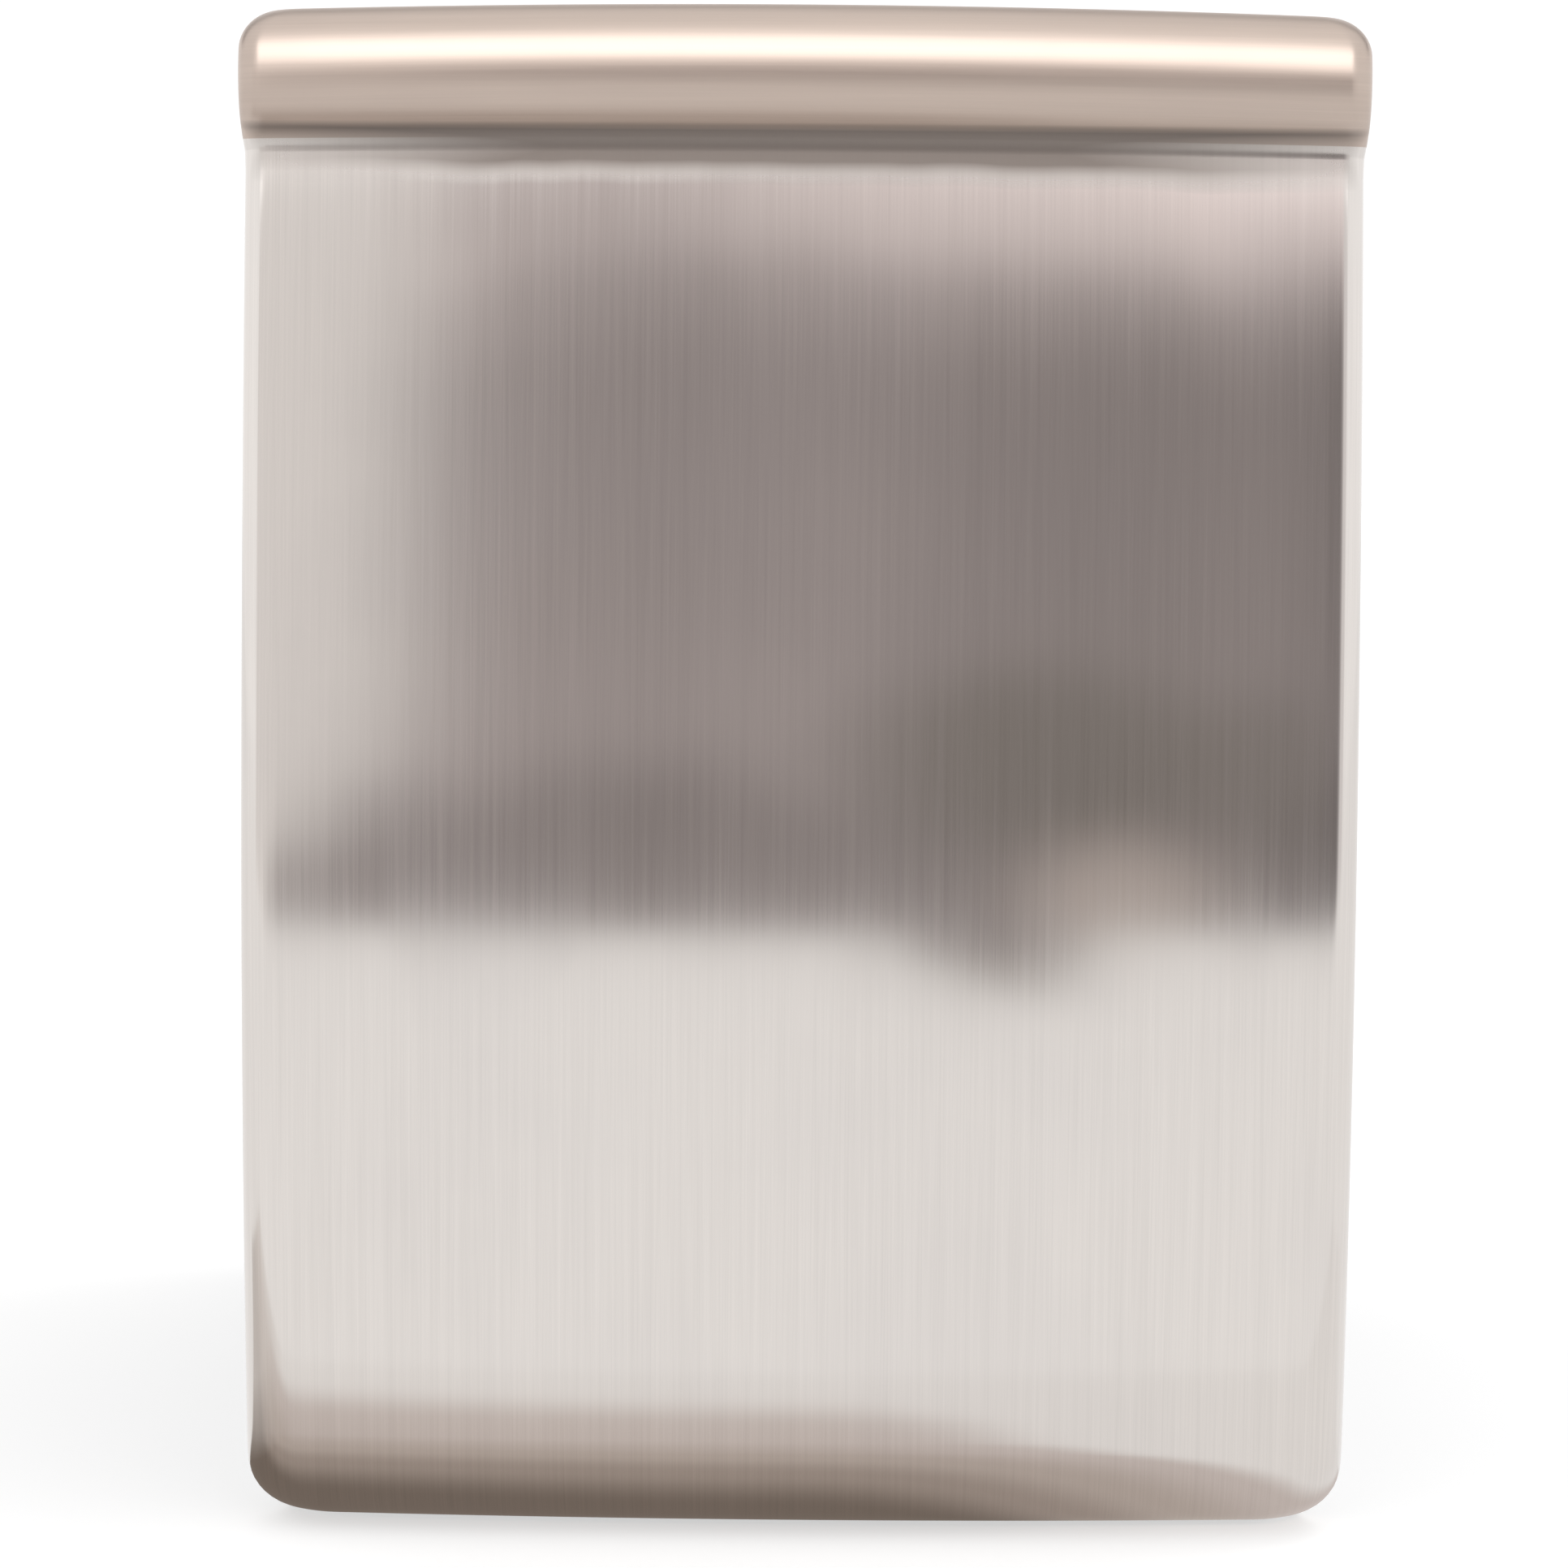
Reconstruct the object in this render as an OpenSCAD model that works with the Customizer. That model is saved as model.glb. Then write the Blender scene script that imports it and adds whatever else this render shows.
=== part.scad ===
/* [Overall size] */
// Overall width, across the drawer front
width = 457; // [450:1:470]
// Overall height, to the crest of the rolled handle
height = 627; // [618:1:636]
// Overall depth, from the belly of the front to the rear panel
depth = 610; // [606:1:620]

/* [Drawer front] */
// Thickness of the stainless sheet
sheet = 1.2; // [0.8:0.1:1.6]
// Radius of the rolled handle
roll_r = 27; // [25:0.5:28]
// How far the roll stands behind the belly
roll_back = 10; // [6:1:14]
// Radius of the hollow under the handle
throat_r = 11; // [9:0.5:13]
// Radius of the belly, seen from the side
belly_r = 2400; // [2000:50:3600]
// Height of the belly's most forward point
belly_z = 215; // [190:5:240]
// How far the front bows forward across its width
crown = 9; // [5:0.5:12]
// Plan radius of the front's upright corners at the top
corner_r = 11; // [9:0.5:13]
// Depth of the drawer front, without the gasket
front_d = 58; // [54:1:62]

/* [Bin and ram] */
// Outer width of the bin
bin_w = 300; // [290:1:300]
// Outer length of the bin
bin_l = 388; // [380:1:388]
// Height of the bin
bin_h = 268; // [240:1:268]
// Wall of the bin
bin_wall = 2; // [1.5:0.1:2.5]
// Travel of the ram
stroke = 180; // [160:1:180]

/* [Drive] */
// Distance of each power screw from the middle
screw_x = 180; // [180:1:181]
// Radius of the power screws
screw_r = 8; // [7:0.5:8]
// Teeth of the screw sprockets
screw_teeth = 14; // [13:1:14]
// Teeth of the drive sprocket
drive_teeth = 10; // [10:1:11]
// Teeth of the motor pinion
pinion_teeth = 14; // [13:1:15]
// Teeth of the drive gear
gear_teeth = 70; // [66:1:70]
// Radial gap of every shaft in its bush
running_gap = 0.05; // [0.02:0.01:0.08]

/* [Hidden] */
$fn = 48;

// Planes of the drawer front and the cabinet, front to back
front_y = -depth / 2;
shell_back = front_y + front_d;
cabinet_front = shell_back + 4;
back_y = depth / 2;
skin = 1.2;
cabinet_x = width / 2 - 9.3;
panel_in = cabinet_x - skin;
inside_back = back_y - skin;
tray_low = 22;
tray_high = 78;
cabinet_top = height - 14;
bulkhead_y = 173;

// The drawer front's side view: belly, throat and roll are three arcs that meet smoothly
floor_gap = 3;
tuck_z = 43;
tuck_depth = 34;
belly_c = [front_y + belly_r, belly_z];
roll_c = [front_y + roll_back + roll_r, height - roll_r];
roll_dir = (roll_c - belly_c) / norm(roll_c - belly_c);
span = norm(roll_c - belly_c);
along = (pow(belly_r + throat_r, 2) - pow(roll_r + throat_r, 2) + span * span) / (2 * span);
aside = sqrt(pow(belly_r + throat_r, 2) - along * along);
throat_c = belly_c + along * roll_dir + aside * [-roll_dir[1], roll_dir[0]];
belly_end = belly_c + (throat_c - belly_c) * belly_r / (belly_r + throat_r);
throat_from = atan2(belly_end[1] - throat_c[1], belly_end[0] - throat_c[0]);
throat_to = atan2(roll_c[1] - throat_c[1], roll_c[0] - throat_c[0]);
lip_w = 1.3;
crest_drop = 3;
foot_corner_r = 31.8;
crest_corner_r = 16.5;

// Bin, ram and slides
bin_front = -228;
bin_floor = 92;
bin_rim = bin_floor + bin_h;
chassis_x = 155;
chassis_back = bin_front + bin_l + 5.5;
ram_z = 375;
ram_w = bin_w - 18;
ram_front = bin_front + 9;
ram_l = bin_l - 18;
screw_y = -40;
crossbar_z = bin_rim + stroke + 12;
crossbar_h = 26;
crossbar_x = screw_x + 18;
guide_x = 212;
slide_z = 123;
slide_from = -236;
slide_to = 168;

// Drive train
chain_pitch = 12.7;
gear_module = 1.25;
shaft_y = 228.35;
shaft_r = 7;
bush_r = 12;
chain_z = 45;
gear_z = 62;
gear_h = 12;
pressure = 25;
backlash = 0.14;
pinion_x = -gear_module * (pinion_teeth + gear_teeth) / 2;
bracket_z = 84;
motor_z = 88;
motor_h = 108;
motor_r = 46;
motor_shaft_r = 4;
fan_y = 232;
fan_z = 490;
gland_x = 150;
gland_z = 60;
gland_hole_r = 8;

// Controls on the top panel
controls_y = -211;
start_x = -60;
stop_x = -25;
key_x = 35;
lens_x = 85;
button_r = 8;
stem_r = 3;
hinge_y = 282;
hinge_z = cabinet_top + 4.4;
pin_r = 1.5;

// ---------- shared shapes ----------

module both_sides() {
    children();
    mirror([1, 0, 0]) children();
}

// A rectangle with round corners, centred on the origin
module rounded_outline(w, l, r) {
    square([w - 2 * r, l], center = true);
    square([w, l - 2 * r], center = true);
    for (x = [-1, 1], y = [-1, 1]) translate([x * (w / 2 - r), y * (l / 2 - r)]) circle(r);
}

module rounded_block(w, l, h, r) {
    linear_extrude(h) rounded_outline(w, l, r);
}

// A box from one corner to the opposite one
module span_box(low, high) {
    translate(low) cube(high - low);
}

module tube(outer, inner, h) {
    difference() {
        cylinder(r = outer, h = h);
        translate([0, 0, -1]) cylinder(r = inner, h = h + 2);
    }
}

// ---------- drawer front ----------

function smooth(t) = let (u = min(max(t, 0), 1)) u * u * (3 - 2 * u);
function belly_at(z) = belly_c[0] - sqrt(belly_r * belly_r - pow(z - belly_z, 2));
function arc_inset(r, d) = d <= 0 ? 0 : r - sqrt(max(r * r - d * d, 0));
function half_w(z) = width / 2 - lip_w * (1 - smooth((z - throat_c[1] + 6) / 14))
    - arc_inset(foot_corner_r, 26 + floor_gap - z)
    - arc_inset(crest_corner_r, z - height + crest_corner_r);
function plan_r(z) = corner_r + 16 * pow(max(1 - z / 300, 0), 2);

// Side view of the front, from the bottom edge to the crest, as [y, z]
tuck_steps = 6;
belly_steps = 12;
throat_steps = 6;
roll_steps = 14;
function tuck_point(a) = [belly_at(tuck_z) + tuck_depth * (1 - cos(a)),
    tuck_z - (tuck_z - floor_gap) * sin(a)];
function belly_point(z) = [belly_at(z), z];
side_view = concat(
    [for (i = [0:tuck_steps - 1]) tuck_point(90 * (1 - i / tuck_steps))],
    [for (i = [0:belly_steps - 1]) belly_point(tuck_z + (belly_end[1] - tuck_z) * i / belly_steps)],
    [for (i = [0:throat_steps - 1]) let (a = throat_from + (throat_to - throat_from) * i / throat_steps)
        throat_c + throat_r * [cos(a), sin(a)]],
    [for (i = [0:roll_steps]) let (a = throat_to + 180 - (throat_to + 90) * i / roll_steps)
        roll_c + roll_r * [cos(a), sin(a)]]);
rings = len(side_view);

// Outward direction of the side view at one of its points
function outward(i) = let (a = side_view[max(i - 1, 0)], b = side_view[min(i + 1, rings - 1)],
    t = (b - a) / norm(b - a)) [-t[1], t[0]];

// One level of the front: right side, corner, bowed face, corner, left side
corner_steps = 5;
face_steps = 12;
function half_ring(w, y, r) = let (lean = atan(2 * crown * (w - r) / (w * w)), face_x = w - r + r * sin(lean),
    corner_y = y + crown * pow(face_x / w, 2) + r * cos(lean))
    concat([[w, shell_back]],
        [for (k = [0:corner_steps]) let (a = (90 - lean) * k / corner_steps)
            [w - r + r * cos(a), corner_y - r * sin(a)]],
        [for (k = [1:face_steps]) let (x = face_x * (1 - k / face_steps)) [x, y + crown * pow(x / w, 2)]]);
function ring(i, inset) = let (p = side_view[i] - inset * outward(i), z = side_view[i][1],
    w = half_w(z) - inset, half = half_ring(w, p[0], plan_r(z) - inset),
    last = len(half) - 1,
    flat = concat(half, [for (k = [1:last]) [-half[last - k][0], half[last - k][1]]]),
    drop = crest_drop * smooth((z - 540) / 60))
    [for (q = flat) [q[0], q[1], p[1] - drop * pow(q[0] / w, 2)]];

// Outer and inner skin in one closed surface: open at the back and at the bottom, closed at the crest
module sheet_shell(t) {
    outer = [for (i = [0:rings - 1]) ring(i, 0)];
    inner = [for (i = [0:rings - 1]) ring(i, t)];
    n = len(outer[0]);
    points = [for (s = [outer, inner]) for (r = s) for (p = r) p];
    half = rings * n;
    top = (rings - 1) * n;
    walls = [for (i = [0:rings - 2]) for (j = [0:n - 2]) let (a = i * n + j) each [
        [a, a + n, a + n + 1], [a, a + n + 1, a + 1],
        [half + a, half + a + n + 1, half + a + n], [half + a, half + a + 1, half + a + n + 1]]];
    crest = [for (j = [0:(n - 1) / 2 - 1]) let (a = top + j, b = top + n - 1 - j) each concat(
        [[a, b, a + 1]], b - 1 > a + 1 ? [[a + 1, b, b - 1]] : [],
        [[half + a, half + a + 1, half + b]], b - 1 > a + 1 ? [[half + a + 1, half + b - 1, half + b]] : [])];
    bottom_edge = [for (j = [0:n - 2]) each [[j, j + 1, half + j + 1], [j, half + j + 1, half + j]]];
    back_edges = [for (i = [0:rings - 2]) let (a = i * n, b = i * n + n - 1) each [
        [a, half + a, half + a + n], [a, half + a + n, a + n],
        [b, b + n, half + b + n], [b, half + b + n, half + b]]];
    crest_edge = let (a = top, b = top + n - 1) [[a, half + a, half + b], [a, half + b, b]];
    polyhedron(points, concat(walls, crest, bottom_edge, back_edges, crest_edge), convexity = 10);
}

module front_shell() {
    color([0.72, 0.70, 0.69]) sheet_shell(sheet);
}

module front_liner() {
    color("gainsboro") difference() {
        translate([0, shell_back - 0.2, height / 2 - 6]) rotate([90, 0, 0])
            rounded_block(2 * half_w(300) - 2.8, height - 44, skin, 27);
        translate([0, shell_back + 1, 240]) rotate([90, 0, 0]) rounded_block(260, 60, 4, 20);
    }
}

module handle_stiffener() {
    color("silver") translate([-195, roll_c[0], roll_c[1]]) rotate([0, 90, 0]) tube(15, 13, 390);
}

module front_gasket() {
    color("dimgray") translate([0, cabinet_front - 0.5, 235]) rotate([90, 0, 0]) difference() {
        rounded_block(400, 350, 3.5, 20);
        translate([0, 0, -1]) rounded_block(380, 330, 6, 12);
    }
}

// ---------- drawer ----------

module drawer_chassis() {
    low = bin_floor - 2;
    high = 330;
    color("lightsteelblue") {
        both_sides() span_box([chassis_x - 1.5, shell_back, low], [chassis_x, chassis_back + 1.5, high]);
        span_box([-chassis_x + 1.5, shell_back, low], [chassis_x - 1.5, chassis_back + 1.5, low + 1.5]);
        span_box([-chassis_x + 1.5, chassis_back, low + 1.5], [chassis_x - 1.5, chassis_back + 1.5, high]);
        both_sides()
            span_box([chassis_x - 25, shell_back, low + 1.5], [chassis_x - 1.5, shell_back + 1.5, high]);
        span_box([100, chassis_back + 1.5, 258], [125, chassis_back + 3, 272]);
    }
}

module bin() {
    color("darkslategray") translate([0, bin_front + bin_l / 2, bin_floor]) difference() {
        union() {
            rounded_block(bin_w, bin_l, bin_h, 18);
            translate([0, 0, bin_h - 3]) rounded_block(bin_w + 4, bin_l + 4, 3, 20);
        }
        translate([0, 0, bin_wall]) rounded_block(bin_w - 2 * bin_wall, bin_l - 2 * bin_wall, bin_h, 16);
    }
}

module bag_retainer() {
    color("whitesmoke") translate([0, bin_front + bin_l / 2, bin_rim]) difference() {
        rounded_block(bin_w + 4, bin_l + 4, 5, 20);
        translate([0, 0, -1]) rounded_block(bin_w - 3, bin_l - 3, 8, 16.5);
    }
}

// A C-shaped slide rail: web at web_x, flanges reaching to lip_x
module rail(web_x, lip_x, half_h, t) {
    side = sign(web_x - lip_x);
    span_box([min(web_x, web_x - side * t), slide_from, slide_z - half_h],
        [max(web_x, web_x - side * t), slide_to, slide_z + half_h]);
    for (z = [slide_z - half_h, slide_z + half_h - t])
        span_box([min(web_x - side * t, lip_x), slide_from, z],
            [max(web_x - side * t, lip_x), slide_to, z + t]);
}

module slide_outers() {
    color("silver") both_sides() rail(167, 157.8, 23, 1.2);
}

module slide_mids() {
    color("darkgray") both_sides() rail(165.2, 157.4, 19.5, 1.2);
}

module slide_inners() {
    color("gainsboro") both_sides() rail(chassis_x, 162.8, 16, 1.2);
}

// ---------- cabinet ----------

module base_frame() {
    roller_x = 165;
    roller_y = 268;
    color("slategray") difference() {
        union() {
            span_box([-panel_in, cabinet_front + skin, tray_low], [panel_in, inside_back, tray_high]);
            both_sides() for (x = [roller_x - 14, roller_x + 12])
                span_box([x, roller_y - 10, 6], [x + 2, roller_y + 10, tray_low]);
        }
        span_box([-panel_in + 2, cabinet_front + skin + 2, tray_low + 2],
            [panel_in - 2, inside_back - 2, tray_high + 1]);
        both_sides() translate([180, -215, tray_low - 1]) cylinder(r = 4 + running_gap, h = 4);
        both_sides() translate([roller_x - 20, roller_y, 10.5]) rotate([0, 90, 0]) cylinder(r = 3, h = 40);
        translate([gland_x, inside_back - 5, gland_z]) rotate([-90, 0, 0]) cylinder(r = gland_hole_r, h = 8);
    }
}

module side_panel() {
    color("dimgray")
        span_box([panel_in, cabinet_front + skin, tray_low], [cabinet_x, inside_back, cabinet_top]);
}

module side_panel_right() {
    side_panel();
}

module side_panel_left() {
    mirror([1, 0, 0]) side_panel();
}

module rear_panel() {
    color("dimgray") difference() {
        span_box([-cabinet_x, inside_back, tray_low], [cabinet_x, back_y, cabinet_top]);
        for (z = [470:14:582], x = [-1, 1])
            span_box([x * 48 - 38, inside_back - 1, z], [x * 48 + 38, back_y + 1, z + 5]);
        for (z = [110:14:180]) span_box([-96, inside_back - 1, z], [-16, back_y + 1, z + 5]);
        translate([gland_x, inside_back - 1, gland_z]) rotate([-90, 0, 0]) cylinder(r = gland_hole_r, h = 4);
    }
}

module front_bezel() {
    color("darkgray") difference() {
        span_box([-cabinet_x, cabinet_front, tray_low], [cabinet_x, cabinet_front + skin, cabinet_top]);
        span_box([-168.5, cabinet_front - 1, 84], [168.5, cabinet_front + 3, 385]);
    }
}

module top_panel() {
    color("dimgray") {
        difference() {
            span_box([-cabinet_x, cabinet_front, cabinet_top], [cabinet_x, back_y, cabinet_top + skin]);
            span_box([-66, 194, cabinet_top - 1], [66, 270, cabinet_top + 3]);
            for (x = [start_x, stop_x])
                translate([x, controls_y, cabinet_top - 1]) cylinder(r = button_r + 0.6, h = 4);
            for (x = [key_x, lens_x]) translate([x, controls_y, cabinet_top - 1]) cylinder(r = 4.6, h = 4);
        }
        both_sides() translate([40, hinge_y, hinge_z])
            hinge_knuckle(20, pin_r + 0.02, 3, cabinet_top + skin - hinge_z);
    }
}

// A hinge knuckle along X, with a foot reaching down to foot_z below its axis
module hinge_knuckle(l, bore, r, foot_z) {
    difference() {
        union() {
            rotate([0, 90, 0]) cylinder(r = r, h = l);
            span_box([0, -r, foot_z], [l, r, 0]);
        }
        translate([-1, 0, 0]) rotate([0, 90, 0]) cylinder(r = bore, h = l + 2);
    }
}

module rear_bulkhead() {
    color("silver") difference() {
        span_box([-166, bulkhead_y, tray_high], [166, bulkhead_y + 1.5, 590]);
        translate([112, bulkhead_y - 1, 265]) rotate([-90, 0, 0]) cylinder(r = 3.5, h = 4);
        for (z = [420:12:480]) span_box([-50, bulkhead_y - 1, z], [50, bulkhead_y + 3, z + 5]);
    }
}

module inner_liners() {
    color("gainsboro") both_sides() {
        span_box([167, slide_from, tray_high], [168, bulkhead_y, 362]);
        span_box([168, 120, tray_high], [panel_in, 122, 120]);
        span_box([168, -200, tray_high], [panel_in, -198, 120]);
    }
}

module uprights() {
    color("slategray") both_sides() {
        span_box([213, -75, 60], [216, -5, 592]);
        for (y = [-75, -8]) span_box([200, y, 60], [213, y + 3, 592]);
    }
}

module crosshead() {
    color("slategray") difference() {
        union() {
            span_box([-216, -75, 592], [216, -5, 595]);
            for (y = [-75, -8]) span_box([-199.5, y, 575], [199.5, y + 3, 592]);
        }
        both_sides() translate([screw_x, screw_y, 590]) cylinder(r = bush_r, h = 8);
    }
}

// A bush with a flange at its foot
module bush(bore, h) {
    difference() {
        union() {
            cylinder(r = bush_r, h = h);
            cylinder(r = bush_r + 5, h = 2.5);
        }
        translate([0, 0, -1]) cylinder(r = bore, h = h + 2);
    }
}

module bearing_bushes() {
    color("peru") {
        both_sides() translate([screw_x, screw_y, tray_low + 2]) bush(screw_r + running_gap, 12);
        both_sides() translate([screw_x, screw_y, 589.5]) bush(screw_r + running_gap, 7);
        translate([0, shaft_y, tray_low + 2]) bush(shaft_r + running_gap, 12);
        translate([0, shaft_y, bracket_z - 2.5]) bush(shaft_r + running_gap, 6);
    }
}

module motor_bracket() {
    color("slategray") {
        difference() {
            span_box([-116, bulkhead_y + 3, bracket_z], [58, 280, motor_z]);
            translate([0, shaft_y, bracket_z - 1]) cylinder(r = bush_r, h = 6);
            translate([pinion_x, shaft_y, bracket_z - 1]) cylinder(r = 12, h = 6);
        }
        for (p = [[-108, 184], [-108, 272], [48, 272], [35, 183]])
            translate([p[0], p[1], tray_low + 2]) cylinder(r = 5, h = bracket_z - tray_low - 2);
    }
}

module motor_housing() {
    color("darkgray") translate([pinion_x, shaft_y, motor_z]) difference() {
        union() {
            cylinder(r = motor_r, h = motor_h - 4);
            cylinder(r = 30, h = motor_h);
            translate([-15, motor_r - 4, 30]) cube([30, 12, 40]);
        }
        translate([0, 0, 6]) cylinder(r = motor_r - 4, h = 16);
        translate([0, 0, 21]) cylinder(r = 29.5, h = 62);
        translate([0, 0, 82]) cylinder(r = motor_r - 4, h = 16);
        translate([0, 0, -1]) cylinder(r = motor_shaft_r + running_gap, h = motor_h - 1);
    }
}

module start_capacitor() {
    color("silver") translate([120, 262, tray_low + 2]) {
        cylinder(r = 18, h = 80);
        cylinder(r = 21, h = 10);
        for (x = [-6, 6]) translate([x - 1, -3, 80]) cube([2, 6, 8]);
    }
}

module control_panel() {
    color("black") difference() {
        translate([0, controls_y, cabinet_top + skin]) rounded_block(240, 38, 3, 6);
        for (x = [start_x, stop_x])
            translate([x, controls_y, cabinet_top]) cylinder(r = button_r + 0.4, h = 6);
        translate([key_x, controls_y, cabinet_top]) cylinder(r = 4.5, h = 6);
        translate([lens_x, controls_y, cabinet_top]) cylinder(r = 4.02, h = 6);
    }
}

module control_board() {
    color("darkgreen") difference() {
        span_box([-105, controls_y - 18, cabinet_top - 34], [105, controls_y + 18, cabinet_top - 8]);
        for (x = [start_x, stop_x])
            translate([x, controls_y, cabinet_top - 22]) cylinder(r = stem_r + running_gap, h = 20);
        translate([key_x, controls_y, cabinet_top - 22]) cylinder(r = 4 + running_gap, h = 20);
    }
}

module indicator_lens() {
    color("orange") translate([lens_x, controls_y, cabinet_top - 2]) {
        cylinder(r = 4, h = 7);
        translate([0, 0, 6.2]) cylinder(r = 5, h = 1.3);
    }
}

module microswitches() {
    color("black") {
        span_box([120, -5, 572], [150, 6, 590]);
        span_box([97, bulkhead_y + 1.5, 252], [127, bulkhead_y + 14, 278]);
        translate([112, bulkhead_y - 2.5, 265]) rotate([-90, 0, 0]) cylinder(r = 2.5, h = 4);
    }
}

module cord_gland() {
    color("black") translate([gland_x, inside_back - 14, gland_z]) rotate([-90, 0, 0]) difference() {
        union() {
            cylinder(r = 7.9, h = 15);
            cylinder(r = 11, h = 12);
        }
        translate([0, 0, -1]) cylinder(r = 4.1, h = 20);
    }
}

module fan_frame() {
    color("black") translate([0, fan_y, fan_z]) difference() {
        rounded_block(110, 110, 26, 6);
        translate([0, 0, 4]) cylinder(r = 51, h = 30);
        translate([0, 0, -1]) difference() {
            cylinder(r = 51, h = 10);
            cylinder(r = 20, h = 10);
            for (a = [0, 60, 120]) rotate(a) translate([-60, -4, 0]) cube([120, 8, 10]);
        }
    }
}

module fan_rotor() {
    color("dimgray") translate([0, fan_y, fan_z]) {
        translate([0, 0, 5]) cylinder(r = 19, h = 14);
        for (a = [0:360 / 7:359]) rotate(a) translate([18, 0, 12]) rotate([38, 0, 0])
            translate([0, -9, -0.8]) cube([28, 18, 1.6]);
    }
}

module filter_housing() {
    color("whitesmoke") translate([0, fan_y, 516]) difference() {
        rounded_block(144, 90, cabinet_top - 516, 4);
        translate([0, 0, 3]) rounded_block(140, 86, cabinet_top - 510, 3);
        translate([0, 0, -1]) cylinder(r = 38, h = 6);
    }
}

module filter_cartridge() {
    color("dimgray") translate([0, fan_y, 519.5]) {
        rounded_block(130, 74, 66, 3);
        translate([0, 0, 66]) rounded_block(30, 4, 12, 1);
    }
}

module filter_door() {
    color("dimgray") difference() {
        union() {
            span_box([-76, 186, cabinet_top + 1.6], [76, 278.4, hinge_z]);
            span_box([-39.5, 278, cabinet_top + 1.6], [39.5, hinge_y, hinge_z]);
            translate([-39.5, hinge_y, hinge_z]) rotate([0, 90, 0]) cylinder(r = 3, h = 79);
        }
        translate([-41, hinge_y, hinge_z]) rotate([0, 90, 0]) cylinder(r = pin_r + running_gap, h = 82);
        translate([0, 180, hinge_z]) cylinder(r = 12, h = 8, center = true);
    }
}

module filter_door_pin() {
    color("silver") translate([-62, hinge_y, hinge_z]) rotate([0, 90, 0]) cylinder(r = pin_r, h = 124);
}

module roller_axles() {
    color("silver") both_sides() translate([149, 268, 10.5]) rotate([0, 90, 0]) cylinder(r = 2.98, h = 32);
}

// Wires from the control board along the left wall and down to the motor
module wiring_harness() {
    r = 2.5;
    run_x = -206;
    run_z = cabinet_top - 5;
    run_y = 290;
    color("black") {
        translate([run_x, controls_y, run_z]) rotate([0, 90, 0]) cylinder(r = r, h = 101);
        translate([run_x, controls_y, run_z]) sphere(r);
        translate([run_x, controls_y, run_z]) rotate([-90, 0, 0]) cylinder(r = r, h = run_y - controls_y);
        translate([run_x, run_y, run_z]) sphere(r);
        translate([run_x, run_y, 140]) cylinder(r = r, h = run_z - 140);
        translate([run_x, run_y, 140]) sphere(r);
        translate([run_x, run_y, 140]) rotate([0, 90, 0]) cylinder(r = r, h = pinion_x - run_x);
        translate([pinion_x, run_y, 140]) sphere(r);
        translate([pinion_x, shaft_y + motor_r + 8, 140]) rotate([-90, 0, 0])
            cylinder(r = r, h = run_y - shaft_y - motor_r - 8);
    }
}

module cabinet_screws() {
    color("silver") {
        both_sides() for (y = [-200, 0, 200], z = [50, 570])
            translate([cabinet_x, y, z]) rotate([0, 90, 0]) screw_head();
        for (x = [-190, 190], y = [-180, 0, 180]) translate([x, y, cabinet_top + skin]) screw_head();
    }
}

module screw_head() {
    difference() {
        cylinder(r = 4.5, h = 2);
        translate([0, 0, 1]) cylinder(r = 1.8, h = 2, $fn = 6);
    }
}

// ---------- ram ----------

module ram_plate() {
    color("lightslategray") translate([0, ram_front + ram_l / 2, ram_z]) difference() {
        rounded_block(ram_w, ram_l, 16, 16);
        difference() {
            translate([0, 0, 4]) rounded_block(ram_w - 6, ram_l - 6, 20, 13);
            for (x = [-1, 1]) span_box([x * 60 - 2, -ram_l / 2, 0], [x * 60 + 2, ram_l / 2, 16]);
            for (y = [-90, 60]) span_box([-ram_w / 2, y - 2, 0], [ram_w / 2, y + 2, 16]);
        }
    }
}

module ram_skirt() {
    color("lightslategray") translate([0, screw_y + 5, ram_z + 16]) difference() {
        rounded_block(240, 230, crossbar_z - ram_z - 16, 12);
        translate([0, 0, -1]) rounded_block(237, 227, 200, 10.5);
    }
}

module ram_crossbar() {
    color("slategray") translate([0, screw_y, crossbar_z]) difference() {
        span_box([-crossbar_x, -24, 0], [crossbar_x, 24, crossbar_h]);
        span_box([-150, -20, 4], [150, 20, crossbar_h + 1]);
        both_sides() translate([screw_x, 0, -1]) cylinder(r = 14, h = crossbar_h + 2);
    }
}

module power_nuts() {
    color("goldenrod") both_sides() translate([screw_x, screw_y, crossbar_z - 4]) difference() {
        union() {
            cylinder(r = 14, h = crossbar_h + 4);
            translate([0, 0, crossbar_h + 4]) cylinder(r = 18, h = 4);
        }
        translate([0, 0, -1]) cylinder(r = screw_r + running_gap, h = crossbar_h + 12);
    }
}

module ram_guides() {
    color("ivory") both_sides()
        span_box([crossbar_x, -71, crossbar_z + 2], [guide_x, -9, crossbar_z + crossbar_h - 2]);
}

// ---------- drive ----------

function inv(a) = tan(a) - a * PI / 180;
// Half of a tooth's angle at radius r, for a gear with n teeth
function tooth_half(n, r) = let (pitch_r = gear_module * n / 2, base_r = pitch_r * cos(pressure))
    90 / n - backlash / 4 / pitch_r * 180 / PI
    + (inv(pressure) - inv(r <= base_r ? 0 : acos(base_r / r))) * 180 / PI;

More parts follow.
